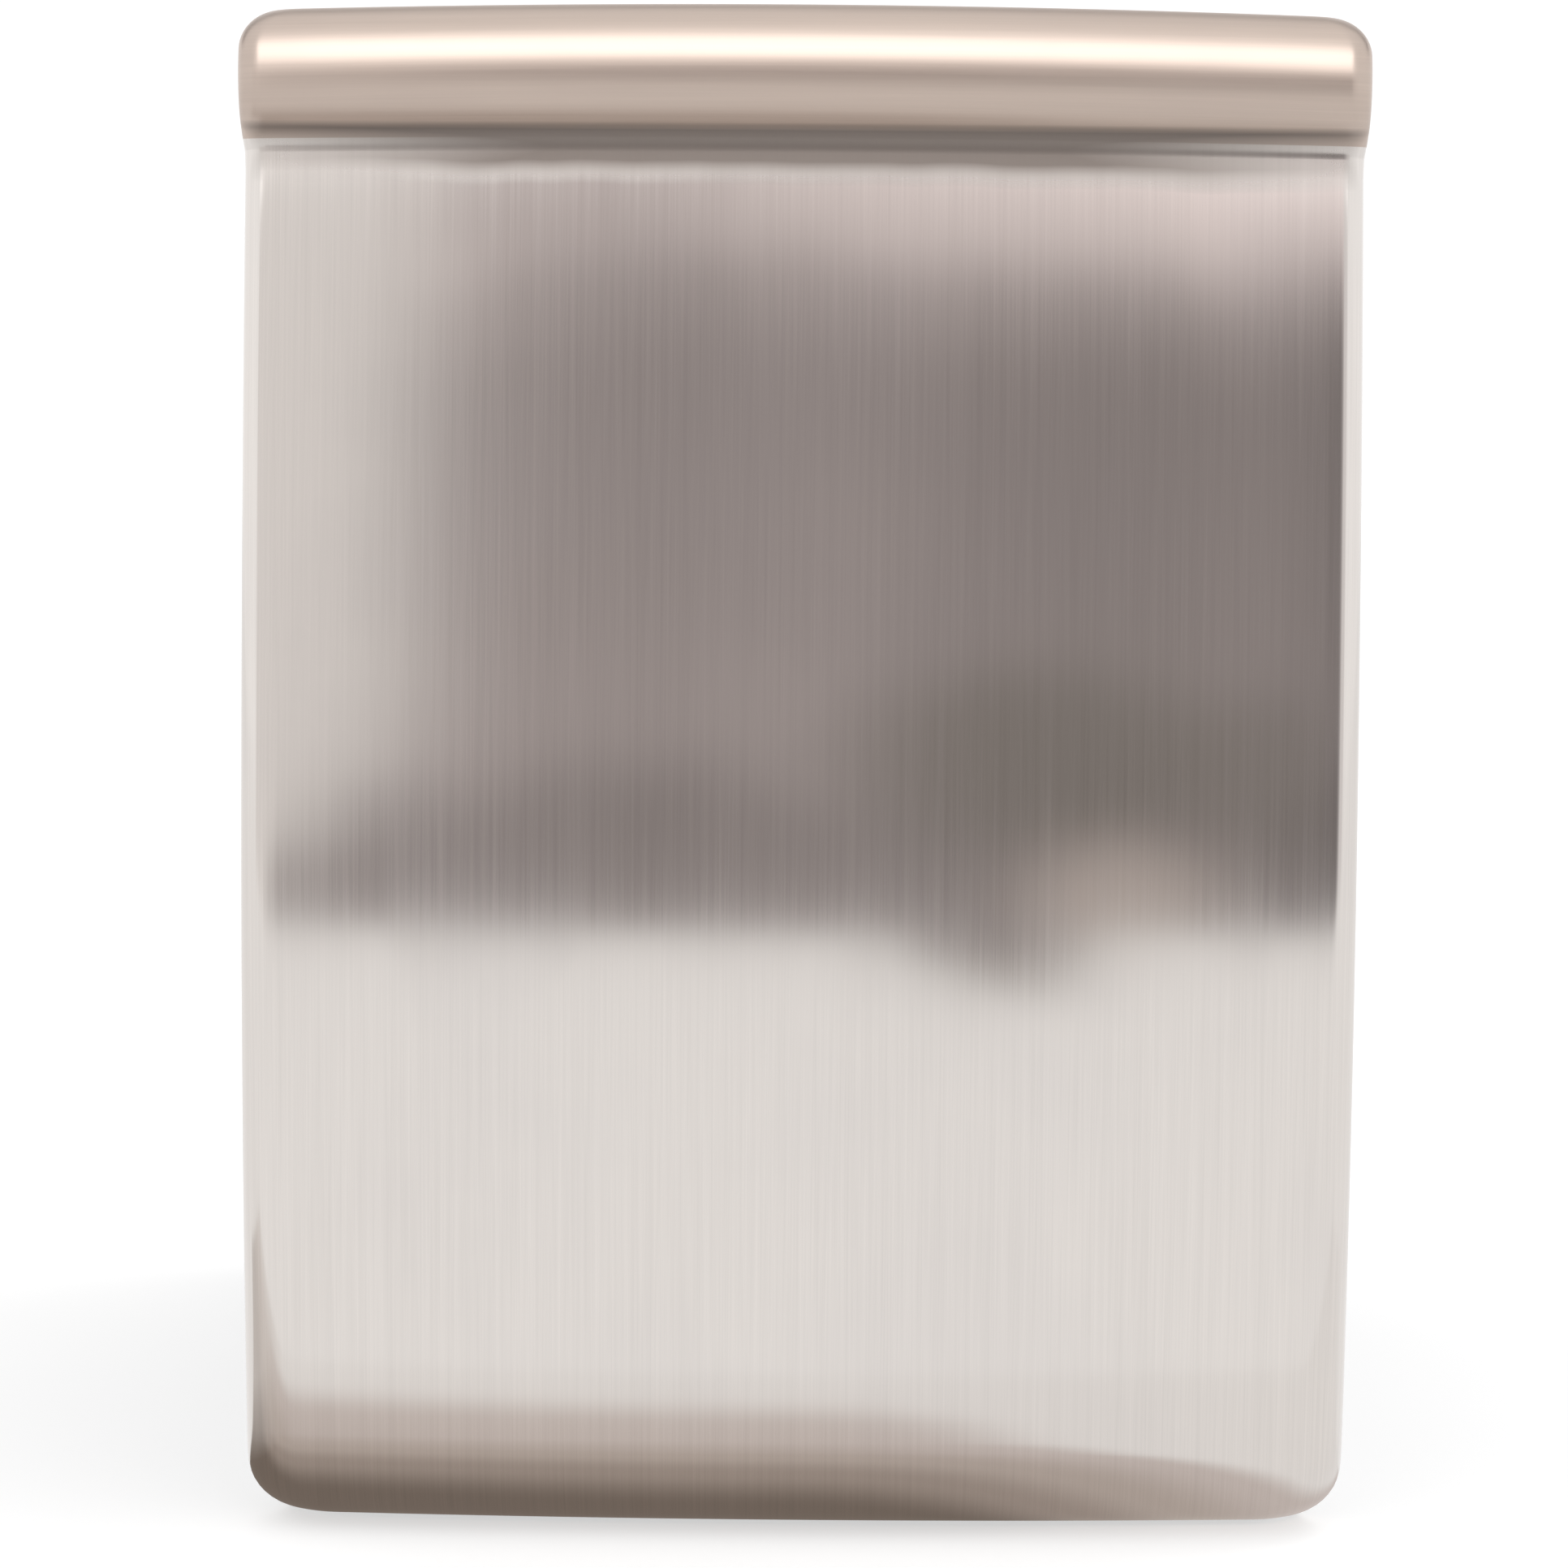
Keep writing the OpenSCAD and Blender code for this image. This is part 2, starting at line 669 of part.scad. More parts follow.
// A spur gear with involute flanks; a tooth points along X when turned by nothing
module spur_gear(n, h, bore) {
    tip = gear_module * (n / 2 + 1);
    root = gear_module * (n / 2 - 1.25);
    radii = [for (k = [0:3]) root + (tip - root) * k / 3];
    outline = [for (t = [0:n - 1]) each concat(
        [for (r = radii) r * [cos(t * 360 / n - tooth_half(n, r)), sin(t * 360 / n - tooth_half(n, r))]],
        [for (k = [3:-1:0]) radii[k] * [cos(t * 360 / n + tooth_half(n, radii[k])),
            sin(t * 360 / n + tooth_half(n, radii[k]))]])];
    difference() {
        linear_extrude(h) polygon(outline);
        translate([0, 0, -1]) cylinder(r = bore, h = h + 2);
    }
}

function sprocket_r(n) = chain_pitch / 2 / sin(180 / n);
roller_r = 3.96;

// A chain sprocket with one tooth gap along the given direction
module sprocket(n, gap_dir, bore, hub_r, hub_h) {
    difference() {
        union() {
            translate([0, 0, chain_z - 2.7]) cylinder(r = sprocket_r(n) + 2.9, h = 5.4);
            translate([0, 0, chain_z - 6]) cylinder(r = hub_r, h = hub_h);
        }
        for (t = [0:n - 1]) rotate(gap_dir + t * 360 / n)
            translate([sprocket_r(n), 0, chain_z - 4]) cylinder(r = roller_r + 0.1, h = 8);
        translate([0, 0, chain_z - 10]) cylinder(r = bore, h = hub_h + 10);
    }
}

// The chain loop: counter-clockwise from the left end of its front run
drive_c = [0, shaft_y];
screw_pr = sprocket_r(screw_teeth);
drive_pr = sprocket_r(drive_teeth);
run_d = norm([screw_x, shaft_y - screw_y]);
run_l = sqrt(run_d * run_d - pow(screw_pr - drive_pr, 2));
run_dir = atan2(shaft_y - screw_y, -screw_x) + asin((screw_pr - drive_pr) / run_d);
front_pitches = 2 * screw_x / chain_pitch;
side_pitches = run_l / chain_pitch;
screw_arc_pitches = run_dir / 360 * screw_teeth;
drive_arc_pitches = (360 - 2 * run_dir) / 360 * drive_teeth;

// Direction of a tooth gap on a sprocket that the chain reaches after so many pitches, at the angle given
function gap_dir(pitches, at, n) = at + (ceil(pitches) - pitches) * 360 / n;
gap_right = gap_dir(front_pitches, -90, screw_teeth);
gap_drive = gap_dir(front_pitches + screw_arc_pitches + side_pitches, run_dir - 90, drive_teeth);
gap_left = gap_dir(front_pitches + screw_arc_pitches + 2 * side_pitches + drive_arc_pitches,
    270 - run_dir, screw_teeth);

function arc_points(c, r, from, to, n) = [for (k = [0:n])
    let (a = from + (to - from) * k / n) c + r * [cos(a), sin(a)]];
function loop_outline(shift) = concat(
    arc_points([screw_x, screw_y], screw_pr + shift, -90, run_dir - 90, 14),
    arc_points(drive_c, drive_pr + shift, run_dir - 90, 270 - run_dir, 12),
    arc_points([-screw_x, screw_y], screw_pr + shift, 270 - run_dir, 270, 14));

module drive_chain() {
    color("dimgray") difference() {
        translate([0, 0, chain_z - 5]) linear_extrude(10) difference() {
            polygon(loop_outline(4.6));
            polygon(loop_outline(-4.6));
        }
        for (s = [[screw_x, screw_y, screw_pr], [-screw_x, screw_y, screw_pr], [0, shaft_y, drive_pr]])
            translate([s[0], s[1], chain_z - 3.2]) cylinder(r = s[2] + 3.5, h = 6.4);
    }
}

module power_screw() {
    color("silver") translate([0, screw_y, tray_low + 2.5]) cylinder(r = screw_r, h = 573.5);
}

module power_screw_left() {
    translate([-screw_x, 0, 0]) power_screw();
}

module power_screw_right() {
    translate([screw_x, 0, 0]) power_screw();
}

module screw_sprocket_left() {
    color("gray") translate([-screw_x, screw_y, 0]) sprocket(screw_teeth, gap_left, screw_r + 0.01, 14, 16);
}

module screw_sprocket_right() {
    color("gray") translate([screw_x, screw_y, 0]) sprocket(screw_teeth, gap_right, screw_r + 0.01, 14, 16);
}

module jackshaft() {
    color("silver") translate([0, shaft_y, tray_low + 2.5]) cylinder(r = shaft_r, h = 63);
}

module drive_sprocket() {
    color("gray") translate([0, shaft_y, 0]) sprocket(drive_teeth, gap_drive, shaft_r + 0.01, 11, 14);
}

module drive_gear() {
    color("ivory") translate([0, shaft_y, gear_z]) {
        difference() {
            spur_gear(gear_teeth, gear_h, shaft_r + 0.01);
            translate([0, 0, gear_h - 4]) tube(36, 14, 6);
            for (a = [0:60:300]) rotate(a) translate([25, 0, -1]) cylinder(r = 7, h = gear_h);
        }
    }
}

module drive_pinion() {
    color("gray") translate([pinion_x, shaft_y, gear_z - 2]) rotate(180 / pinion_teeth)
        spur_gear(pinion_teeth, gear_h + 4, motor_shaft_r + 0.01);
}

module motor_rotor() {
    color("gray") translate([pinion_x, shaft_y, 0]) {
        translate([0, 0, gear_z - 4]) cylinder(r = motor_shaft_r, h = motor_z + motor_h - 4 - gear_z);
        translate([0, 0, motor_z + 24]) tube(28.5, motor_shaft_r - 1, 56);
    }
}

// ---------- controls, rollers and feet ----------

module push_button() {
    translate([0, controls_y, 0]) {
        translate([0, 0, cabinet_top - 1]) cylinder(r = button_r, h = 8);
        translate([0, 0, cabinet_top - 18]) cylinder(r = stem_r, h = 18);
    }
}

module start_button() {
    color("seagreen") translate([start_x, 0, 0]) push_button();
}

module stop_button() {
    color("firebrick") translate([stop_x, 0, 0]) push_button();
}

module key_knob() {
    color("dimgray") translate([key_x, controls_y, 0]) {
        translate([0, 0, cabinet_top - 18]) cylinder(r = 4, h = 23);
        translate([0, 0, cabinet_top + 4.6]) cylinder(r = 11, h = 3);
        translate([-10, -2.5, cabinet_top + 7]) cube([20, 5, 5]);
    }
}

module roller() {
    color("black") translate([156, 268, 10.5]) rotate([0, 90, 0]) tube(10.5, 2.98 + running_gap, 18);
}

module roller_right() {
    roller();
}

module roller_left() {
    mirror([1, 0, 0]) roller();
}

module foot() {
    color("black") translate([180, -215, 0]) {
        cylinder(r = 16, h = 5);
        translate([0, 0, 5]) cylinder(r = 8, h = 5, $fn = 6);
        cylinder(r = 4, h = 38);
    }
}

module foot_right() {
    foot();
}

module foot_left() {
    mirror([1, 0, 0]) foot();
}

base_frame();
side_panel_left();
side_panel_right();
rear_panel();
top_panel();
front_bezel();
rear_bulkhead();
inner_liners();
uprights();
crosshead();
bearing_bushes();
slide_outers();
motor_housing();
motor_bracket();
drive_chain();
start_capacitor();
control_panel();
control_board();
indicator_lens();
microswitches();
cord_gland();
fan_frame();
filter_housing();
filter_cartridge();
filter_door_pin();
roller_axles();
wiring_harness();
cabinet_screws();
front_shell();
front_liner();
handle_stiffener();
front_gasket();
drawer_chassis();
bin();
bag_retainer();
slide_inners();
slide_mids();
ram_plate();
ram_skirt();
ram_crossbar();
power_nuts();
ram_guides();
motor_rotor();
drive_pinion();
jackshaft();
drive_gear();
drive_sprocket();
power_screw_left();
screw_sprocket_left();
power_screw_right();
screw_sprocket_right();
start_button();
stop_button();
key_knob();
filter_door();
fan_rotor();
roller_left();
roller_right();
foot_left();
foot_right();
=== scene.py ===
"""Looks of a household trash compactor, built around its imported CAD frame."""

import math

import bmesh
import bpy
from mathutils import Matrix, Vector


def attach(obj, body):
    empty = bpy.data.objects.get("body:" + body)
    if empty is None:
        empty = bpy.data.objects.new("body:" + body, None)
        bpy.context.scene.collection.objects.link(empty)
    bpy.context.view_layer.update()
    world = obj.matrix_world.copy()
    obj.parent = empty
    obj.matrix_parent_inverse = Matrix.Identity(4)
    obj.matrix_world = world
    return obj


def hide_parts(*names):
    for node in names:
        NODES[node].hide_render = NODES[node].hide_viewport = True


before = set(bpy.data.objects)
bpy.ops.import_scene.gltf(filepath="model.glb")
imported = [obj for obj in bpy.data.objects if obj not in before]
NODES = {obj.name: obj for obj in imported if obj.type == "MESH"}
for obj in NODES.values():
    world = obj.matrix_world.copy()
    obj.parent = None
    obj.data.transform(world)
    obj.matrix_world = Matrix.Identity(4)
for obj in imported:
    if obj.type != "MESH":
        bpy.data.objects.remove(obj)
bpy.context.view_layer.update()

MM = 0.001

# Sizes repeated from the CAD source, in millimetres
WIDTH, HEIGHT = 457, 627
SHEET, CROWN, CORNER_R = 1.2, 9, 11
ROLL_R, ROLL_BACK, THROAT_R = 27, 10, 11
BELLY_R, BELLY_Z = 2400, 215
FLOOR_GAP, TUCK_Z, TUCK_DEPTH = 3, 43, 34
LIP_W, CREST_DROP, FOOT_CORNER_R, CREST_CORNER_R = 1.3, 3, 31.8, 16.5
SHELL_STEPS, CORNER_STEPS, FACE_STEPS = (14, 64, 14, 44), 14, 36
FRONT_Y, SHELL_BACK = -305, -247
CABINET_TOP, PANEL_IN, TRAY_LOW = HEIGHT - 14, 218, 22
BIN_W, BIN_L, BIN_H, BIN_FLOOR, BIN_MID = 300, 388, 268, 92, -34
SCREW_X, SCREW_Y, SCREW_R = 180, -40, 8
SHAFT_Y, PINION_X, MOTOR_Z = 228.35, -52.5, 88
CHAIN_Z, CHAIN_PITCH, CHAIN_LINKS, SCREW_TEETH, DRIVE_TEETH = 45, 12.7, 92, 14, 10
FAN_Y, FAN_Z = 232, 490
CONTROLS_Y, START_X, STOP_X, KEY_X, LENS_X = -211, -60, -25, 35, 85

# The fold under the rolled handle: its height in metres, the colour of the painted shade laid in it, and its dull
# roughness
FOLD_Z, FOLD_SHADE_COLOUR, FOLD_ROUGH = 0.5695, (0.245, 0.212, 0.192), 0.52


# ---------- materials ----------

def shader(name):
    material = bpy.data.materials.new(name)
    material.use_nodes = True
    return material, material.node_tree, material.node_tree.nodes["Principled BSDF"]


def fill(tree, node, inputs):
    """Give each input its number, its colour or another node's output."""
    for key, value in inputs.items():
        if isinstance(value, bpy.types.NodeSocket):
            tree.links.new(value, node.inputs[key])
        else:
            node.inputs[key].default_value = value


def new_node(tree, kind, output, inputs=None, **settings):
    """Add a shader node, and return one of its outputs."""
    node = tree.nodes.new("ShaderNode" + kind)
    for key, value in settings.items():
        setattr(node, key, value)
    fill(tree, node, inputs or {})
    return node.outputs[output]


def noise(tree, scale, detail=3.0, uv=False):
    """A noise value over the surface; scale is one number, or one for each axis, in features per metre."""
    scale = (scale,) * 3 if isinstance(scale, (int, float)) else scale
    place = new_node(tree, "UVMap", "UV", uv_map="brush") if uv else new_node(tree, "TexCoord", "Object")
    place = new_node(tree, "Mapping", "Vector", {"Vector": place, "Scale": scale})
    return new_node(tree, "TexNoise", "Fac", {"Vector": place, "Scale": 1.0, "Detail": detail})


def spread(tree, value, low, high, start=0.32, end=0.68):
    """The value from start to end, stretched to run from low to high and held there."""
    return new_node(tree, "MapRange", "Result", {
        "Value": value, "From Min": start, "From Max": end, "To Min": low, "To Max": high})


def arithmetic(tree, operation, a, b):
    return new_node(tree, "Math", "Value", {0: a, 1: b}, operation=operation)


def add(tree, a, b):
    return arithmetic(tree, "ADD", a, b)


def times(tree, a, b):
    return arithmetic(tree, "MULTIPLY", a, b)


def mix_colour(tree, factor, a, b, blend="MIX"):
    return new_node(tree, "Mix", 2, {0: factor, 6: a, 7: b}, data_type="RGBA", blend_type=blend)


def rgba(colour, factor=1.0):
    """An opaque colour from three numbers, or a grey from one."""
    colour = (colour,) * 3 if isinstance(colour, (int, float)) else colour
    return [min(1.0, c * factor) for c in colour] + [1.0]


def bump(tree, bsdf, height, strength, depth):
    normal = new_node(tree, "Bump", "Normal", {"Height": height, "Strength": strength, "Distance": depth})
    tree.links.new(normal, bsdf.inputs["Normal"])


def edge_mask(tree, radius):
    """Near 1 on sharp convex or concave edges, 0 on flat and gently curved surface."""
    rounded_off = new_node(tree, "Bevel", "Normal", {"Radius": radius}, samples=4)
    true = new_node(tree, "NewGeometry", "Normal")
    dot = new_node(tree, "VectorMath", "Value", {0: rounded_off, 1: true}, operation="DOT_PRODUCT")
    return spread(tree, dot, 1.0, 0.0, 0.75, 0.985)


def coated(name, colour, rough, metallic=0.0, grain=900, patch=14, mottle=0.05, rough_mottle=0.07,
           relief=0.25, depth=0.00006, worn=None, worn_rough=0.35, clear=0.0, glow=0.0):
    """A painted, plated or moulded surface: fine grain, broad patches and worn edges."""
    material, tree, bsdf = shader(name)
    fine, broad = noise(tree, grain), noise(tree, patch, 4.0)
    base = mix_colour(tree, spread(tree, fine, 0.0, 1.0), rgba(colour, 1 - mottle), rgba(colour, 1 + mottle))
    base = mix_colour(tree, spread(tree, broad, 0.0, 1.0), base, rgba(1 - mottle), "MULTIPLY")
    half = rough_mottle / 2
    roughness = add(tree, spread(tree, fine, rough - half, rough + half), spread(tree, broad, -half, half))
    if worn:
        scuffs = spread(tree, noise(tree, 170, 5.0), 0.0, 1.0, 0.42, 0.58)
        wear = times(tree, edge_mask(tree, 0.0012), scuffs)
        base = mix_colour(tree, wear, base, rgba(worn))
        roughness = add(tree, roughness, times(tree, wear, worn_rough - rough))
    fill(tree, bsdf, {"Base Color": base, "Roughness": roughness, "Metallic": metallic,
                      "Coat Weight": clear, "Coat Roughness": 0.08})
    if glow:
        fill(tree, bsdf, {"Emission Color": base, "Emission Strength": glow})
    bump(tree, bsdf, fine, relief, depth)
    return material


def axes(tree):
    """The object coordinates as three separate values, in metres."""
    place = new_node(tree, "TexCoord", "Object")
    return new_node(tree, "SeparateXYZ", slice(3), {"Vector": place})


def fold_shade_mask(tree):
    """1 in the fold under the rolled handle, where painted shade darkens the steel, 0 elsewhere."""
    _, y, z = axes(tree)
    wavering = spread(tree, noise(tree, (9, 0.1, 0.1), 3.0), -0.002, 0.002)
    level = add(tree, z, wavering)
    below = spread(tree, level, 0.0, 1.0, FOLD_Z - 0.016, FOLD_Z - 0.006)
    above = spread(tree, z, 1.0, 0.0, FOLD_Z + 0.0065, FOLD_Z + 0.0095)
    front = spread(tree, y, 1.0, 0.0, -0.277, -0.268)
    return times(tree, times(tree, below, above), front)


def brushed(name, colour, rough, anisotropic):
    """Satin stainless steel. The grooves run along the UV map's V, and the map is in metres."""
    material, tree, bsdf = shader(name)
    fine = noise(tree, (1500, 11, 1), 2.0, uv=True)
    coarse = noise(tree, (330, 4, 1), 3.0, uv=True)
    broad = noise(tree, (34, 2.2, 1), 2.0, uv=True)
    streaks = add(tree, times(tree, fine, 0.5), times(tree, coarse, 0.5))
    base = mix_colour(tree, spread(tree, streaks, 0.0, 1.0), rgba(colour, 0.955), rgba(colour, 1.035))
    smudge = spread(tree, noise(tree, 9, 4.0), 0.0, 1.0, 0.45, 0.62)
    base = mix_colour(tree, smudge, base, rgba((0.975, 0.975, 0.98)), "MULTIPLY")
    # Painted shade: the steel in the fold under the rolled handle is darkened, and made rougher there
    fold = fold_shade_mask(tree)
    base = mix_colour(tree, fold, base, rgba(FOLD_SHADE_COLOUR))
    roughness = add(tree, spread(tree, streaks, rough - 0.012, rough + 0.014),
                    add(tree, spread(tree, broad, -0.008, 0.012), times(tree, smudge, 0.012)))
    roughness = add(tree, roughness, times(tree, fold, FOLD_ROUGH - rough))
    tangent = new_node(tree, "Tangent", "Tangent", direction_type="UV_MAP", uv_map="brush")
    fill(tree, bsdf, {"Base Color": base, "Roughness": roughness, "Metallic": 1.0,
                      "Anisotropic": anisotropic, "Tangent": tangent})
    bump(tree, bsdf, streaks, 0.035, 0.00002)
    return material


MATERIALS = {
    "stainless": brushed("satin_stainless_upright", (0.748, 0.704, 0.670), 0.115, 0.45),
    "cabinet_paint": coated("charcoal_powder_coat", (0.052, 0.052, 0.056), 0.46, grain=1500, relief=0.5,
                            depth=0.00012, worn=(0.16, 0.16, 0.165)),
    "zinc_steel": coated("zinc_plate", (0.55, 0.56, 0.575), 0.36, 1.0, grain=(340, 340, 90), patch=7,
                         mottle=0.04, relief=0.06, worn=0.70, worn_rough=0.25),
    "white_enamel": coated("white_enamel", (0.78, 0.78, 0.76), 0.24, grain=420, mottle=0.015, relief=0.10,
                           worn=0.60, clear=0.3),
    "machined_steel": coated("turned_steel", (0.50, 0.50, 0.51), 0.27, 1.0, grain=(120, 120, 2600), mottle=0.08,
                             rough_mottle=0.10, relief=0.18, worn=0.66, worn_rough=0.2),
    "chain_steel": coated("oiled_chain_steel", (0.22, 0.21, 0.20), 0.30, 1.0, grain=700, patch=60, mottle=0.14,
                          worn=(0.44, 0.43, 0.42), worn_rough=0.22),
    "bronze": coated("sintered_bronze", (0.58, 0.37, 0.17), 0.38, 1.0, grain=2200, mottle=0.12, relief=0.3,
                     worn=(0.76, 0.54, 0.28), worn_rough=0.25),
    "motor_metal": coated("cast_aluminium", (0.52, 0.53, 0.54), 0.45, 1.0, grain=1300, mottle=0.07, relief=0.45,
                          depth=0.0001, worn=(0.70, 0.70, 0.71), worn_rough=0.28),
    "black_plastic": coated("black_moulding", (0.022, 0.022, 0.024), 0.42, grain=1700, mottle=0.10, relief=0.3,
                            worn=(0.07, 0.07, 0.072)),
    "grey_plastic": coated("grey_moulding", (0.150, 0.160, 0.170), 0.40, grain=1300, mottle=0.06,
                           worn=(0.26, 0.265, 0.27), worn_rough=0.5),
    "natural_nylon": coated("natural_nylon", (0.70, 0.66, 0.56), 0.36, grain=800, mottle=0.03, relief=0.12,
                            worn=(0.80, 0.78, 0.70)),
    "panel_plastic": coated("gloss_black_fascia", (0.018, 0.018, 0.021), 0.14, grain=1600, mottle=0.06,
                            rough_mottle=0.05, relief=0.05, worn=(0.05, 0.05, 0.052), clear=0.6),
    "green_button": coated("green_button", (0.030, 0.300, 0.110), 0.22, grain=1500, relief=0.08,
                           worn=(0.08, 0.38, 0.18), clear=0.4),
    "red_button": coated("red_button", (0.480, 0.030, 0.024), 0.22, grain=1500, relief=0.08,
                         worn=(0.58, 0.10, 0.08), clear=0.4),
    "amber_lens": coated("amber_lens", (0.86, 0.36, 0.03), 0.10, grain=500, patch=150, relief=0.08,
                         clear=0.8, glow=0.15),
    "circuit_board": coated("solder_mask", (0.020, 0.135, 0.055), 0.26, grain=600, patch=90, mottle=0.14,
                            relief=0.2, worn=(0.35, 0.30, 0.12), clear=0.3),
    "carbon_filter": coated("carbon_media", (0.050, 0.050, 0.055), 0.85, grain=1900, mottle=0.3, relief=0.9,
                            depth=0.0003),
    "rubber": coated("black_rubber", (0.030, 0.030, 0.031), 0.70, grain=1200, mottle=0.12, relief=0.35,
                     depth=0.0001, worn=0.09, worn_rough=0.8),
}
# The rolled handle's copy of the steel: its grain runs level, and its darker, warmer base colour is painted shade
SHADED_ROLL_STEEL = brushed("satin_stainless_level_shaded", (0.560, 0.465, 0.406), 0.32, 0.6)


# ---------- mesh building ----------

def circle(r, z, n=32):
    return [(r * math.cos(2 * math.pi * i / n), r * math.sin(2 * math.pi * i / n), z) for i in range(n)]


def rounded(w, l, r, z, seg=5, x=0.0, y=0.0):
    """A rectangle with round corners, level at z."""
    r = max(min(r, w / 2, l / 2), 0.02)
    ring = []
    for quarter, (sx, sy) in enumerate(((1, 1), (-1, 1), (-1, -1), (1, -1))):
        for k in range(seg + 1):
            a = math.pi / 2 * (quarter + k / seg)
            ring.append((x + sx * (w / 2 - r) + r * math.cos(a), y + sy * (l / 2 - r) + r * math.sin(a), z))
    return ring


def at(x=0.0, y=0.0, z=0.0, along="Z", spin=0.0):
    """A place to build at: the local Z axis points along the axis named."""
    turns = {"Z": Matrix.Identity(4), "X": Matrix.Rotation(math.pi / 2, 4, "Y"),
             "Y": Matrix.Rotation(-math.pi / 2, 4, "X"), "-Y": Matrix.Rotation(math.pi / 2, 4, "X")}
    return Matrix.Translation((x, y, z)) @ turns[along] @ Matrix.Rotation(math.radians(spin), 4, "Z")


MIRROR = Matrix.Scale(-1, 4, (1, 0, 0))


def frames(points):
    """Each point of a path, with two directions that are square to the path and don't twist along it."""
    up, last = None, len(points) - 1
    for i, p in enumerate(points):
        along = (points[min(i + 1, last)] - points[max(i - 1, 0)]).normalized()
        up = along.orthogonal().normalized() if up is None else (up - along * up.dot(along)).normalized()
        yield p, up, along.cross(up)


class Piece:
    """The faces of one piece, gathered in millimetres in the CAD frame."""

    def __init__(self):
        self.points, self.faces, self.marks = [], [], []
        self.place, self.mark = Matrix.Identity(4), 0

    def at(self, *where, **how):
        self.place = at(*where, **how)
        return self

    def add(self, points, faces):
        first = len(self.points)
        self.points += [self.place @ Vector(p) for p in points]
        self.faces += [[i + first for i in face] for face in faces]
        self.marks += [self.mark] * len(faces)
        return self

    def loft(self, rings, wrap=False):
        """A skin over the rings, closed by a face at each end, or wrapped round to the first ring."""
        n, count = len(rings[0]), len(rings)
        faces = []
        for i in range(count if wrap else count - 1):
            a, b = i * n, (i + 1) % count * n
            faces += [[a + j, a + (j + 1) % n, b + (j + 1) % n, b + j] for j in range(n)]
        if not wrap:
            faces += [list(range(n))[::-1], list(range((count - 1) * n, count * n))]
        return self.add([p for ring in rings for p in ring], faces)

    def lathe(self, profile, n=36, wrap=False):
        return self.loft([circle(r, z, n) for r, z in profile], wrap)

    def slab(self, w, l, r, low, high, edge=0.6, seg=5, x=0.0, y=0.0):
        """A rounded block with filleted top and bottom edges."""
        edge = min(edge, (high - low) / 2.05, w / 2.2, l / 2.2)
        steps = [(edge * (1 - math.sin(a)), edge * (1 - math.cos(a))) for a in (0, math.pi / 4, math.pi / 2)]
        levels = [(i, low + d) for i, d in steps] + [(i, high - d) for i, d in reversed(steps)]
        return self.loft([rounded(w - 2 * i, l - 2 * i, r - i, z, seg, x, y) for i, z in levels])

    def block(self, low, high, edge=0.5):
        (x0, y0, z0), (x1, y1, z1) = low, high
        edge = min(edge, (x1 - x0) / 2.2, (y1 - y0) / 2.2, (z1 - z0) / 2.2)
        return self.slab(x1 - x0, y1 - y0, edge, z0, z1, edge, 2, (x0 + x1) / 2, (y0 + y1) / 2)

    def border(self, w, l, r, profile, seg=6):
        """A closed frame: each (outward, z) of the profile runs round a rounded rectangle."""
        return self.loft([rounded(w + 2 * o, l + 2 * o, r + o, z, seg) for o, z in profile], wrap=True)

    def sweep(self, path, r, sides):
        """A round rod or wire along the path."""
        turns = [2 * math.pi * k / sides for k in range(sides)]
        return self.loft([[p + r * (math.cos(a) * up + math.sin(a) * side) for a in turns]
                          for p, up, side in frames(path)])

    def make(self, name, body, slot, *replaced, more=(), crease=34):
        """The finished object, riding on its body and dressed in its slot's material."""
        mesh = bpy.data.meshes.new(name)
        mesh.from_pydata([p * MM for p in self.points], [], self.faces)
        mesh.polygons.foreach_set("material_index", self.marks)
        work = bmesh.new()
        work.from_mesh(mesh)
        bmesh.ops.recalc_face_normals(work, faces=work.faces)
        work.to_mesh(mesh)
        work.free()
        mesh.shade_smooth()
        mesh.set_sharp_from_angle(angle=math.radians(crease))
        for key in (slot, *more):
            mesh.materials.append(MATERIALS[key])
        obj = bpy.data.objects.new(name, mesh)
        bpy.context.scene.collection.objects.link(obj)
        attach(obj, body)
        if replaced:
            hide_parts(*replaced)
        return obj


def dress(node, slot, edge):
    """A CAD node keeps its shape, gets its slot's material, and has its sharp edges softened."""
    obj = NODES[node]
    obj.data.materials.clear()
    obj.data.materials.append(MATERIALS[slot])
    if obj.data.has_custom_normals:
        with bpy.context.temp_override(object=obj, active_object=obj, selected_objects=[obj]):
            bpy.ops.mesh.customdata_custom_splitnormals_clear()
    obj.data.shade_smooth()
    weld = obj.modifiers.new("weld", "WELD")
    weld.merge_threshold = 0.00001
    flat = obj.modifiers.new("flat", "DECIMATE")
    flat.decimate_type = "DISSOLVE"
    flat.angle_limit = math.radians(0.5)
    soft = obj.modifiers.new("edge", "BEVEL")
    soft.width = edge * MM
    soft.segments = 2
    soft.limit_method = "ANGLE"
    soft.angle_limit = math.radians(28)
    soft.harden_normals = True


# ---------- the drawer front ----------

def smooth(t):
    u = min(max(t, 0.0), 1.0)
    return u * u * (3 - 2 * u)


def arc_inset(r, d):
    return 0.0 if d <= 0 else r - math.sqrt(max(r * r - d * d, 0.0))


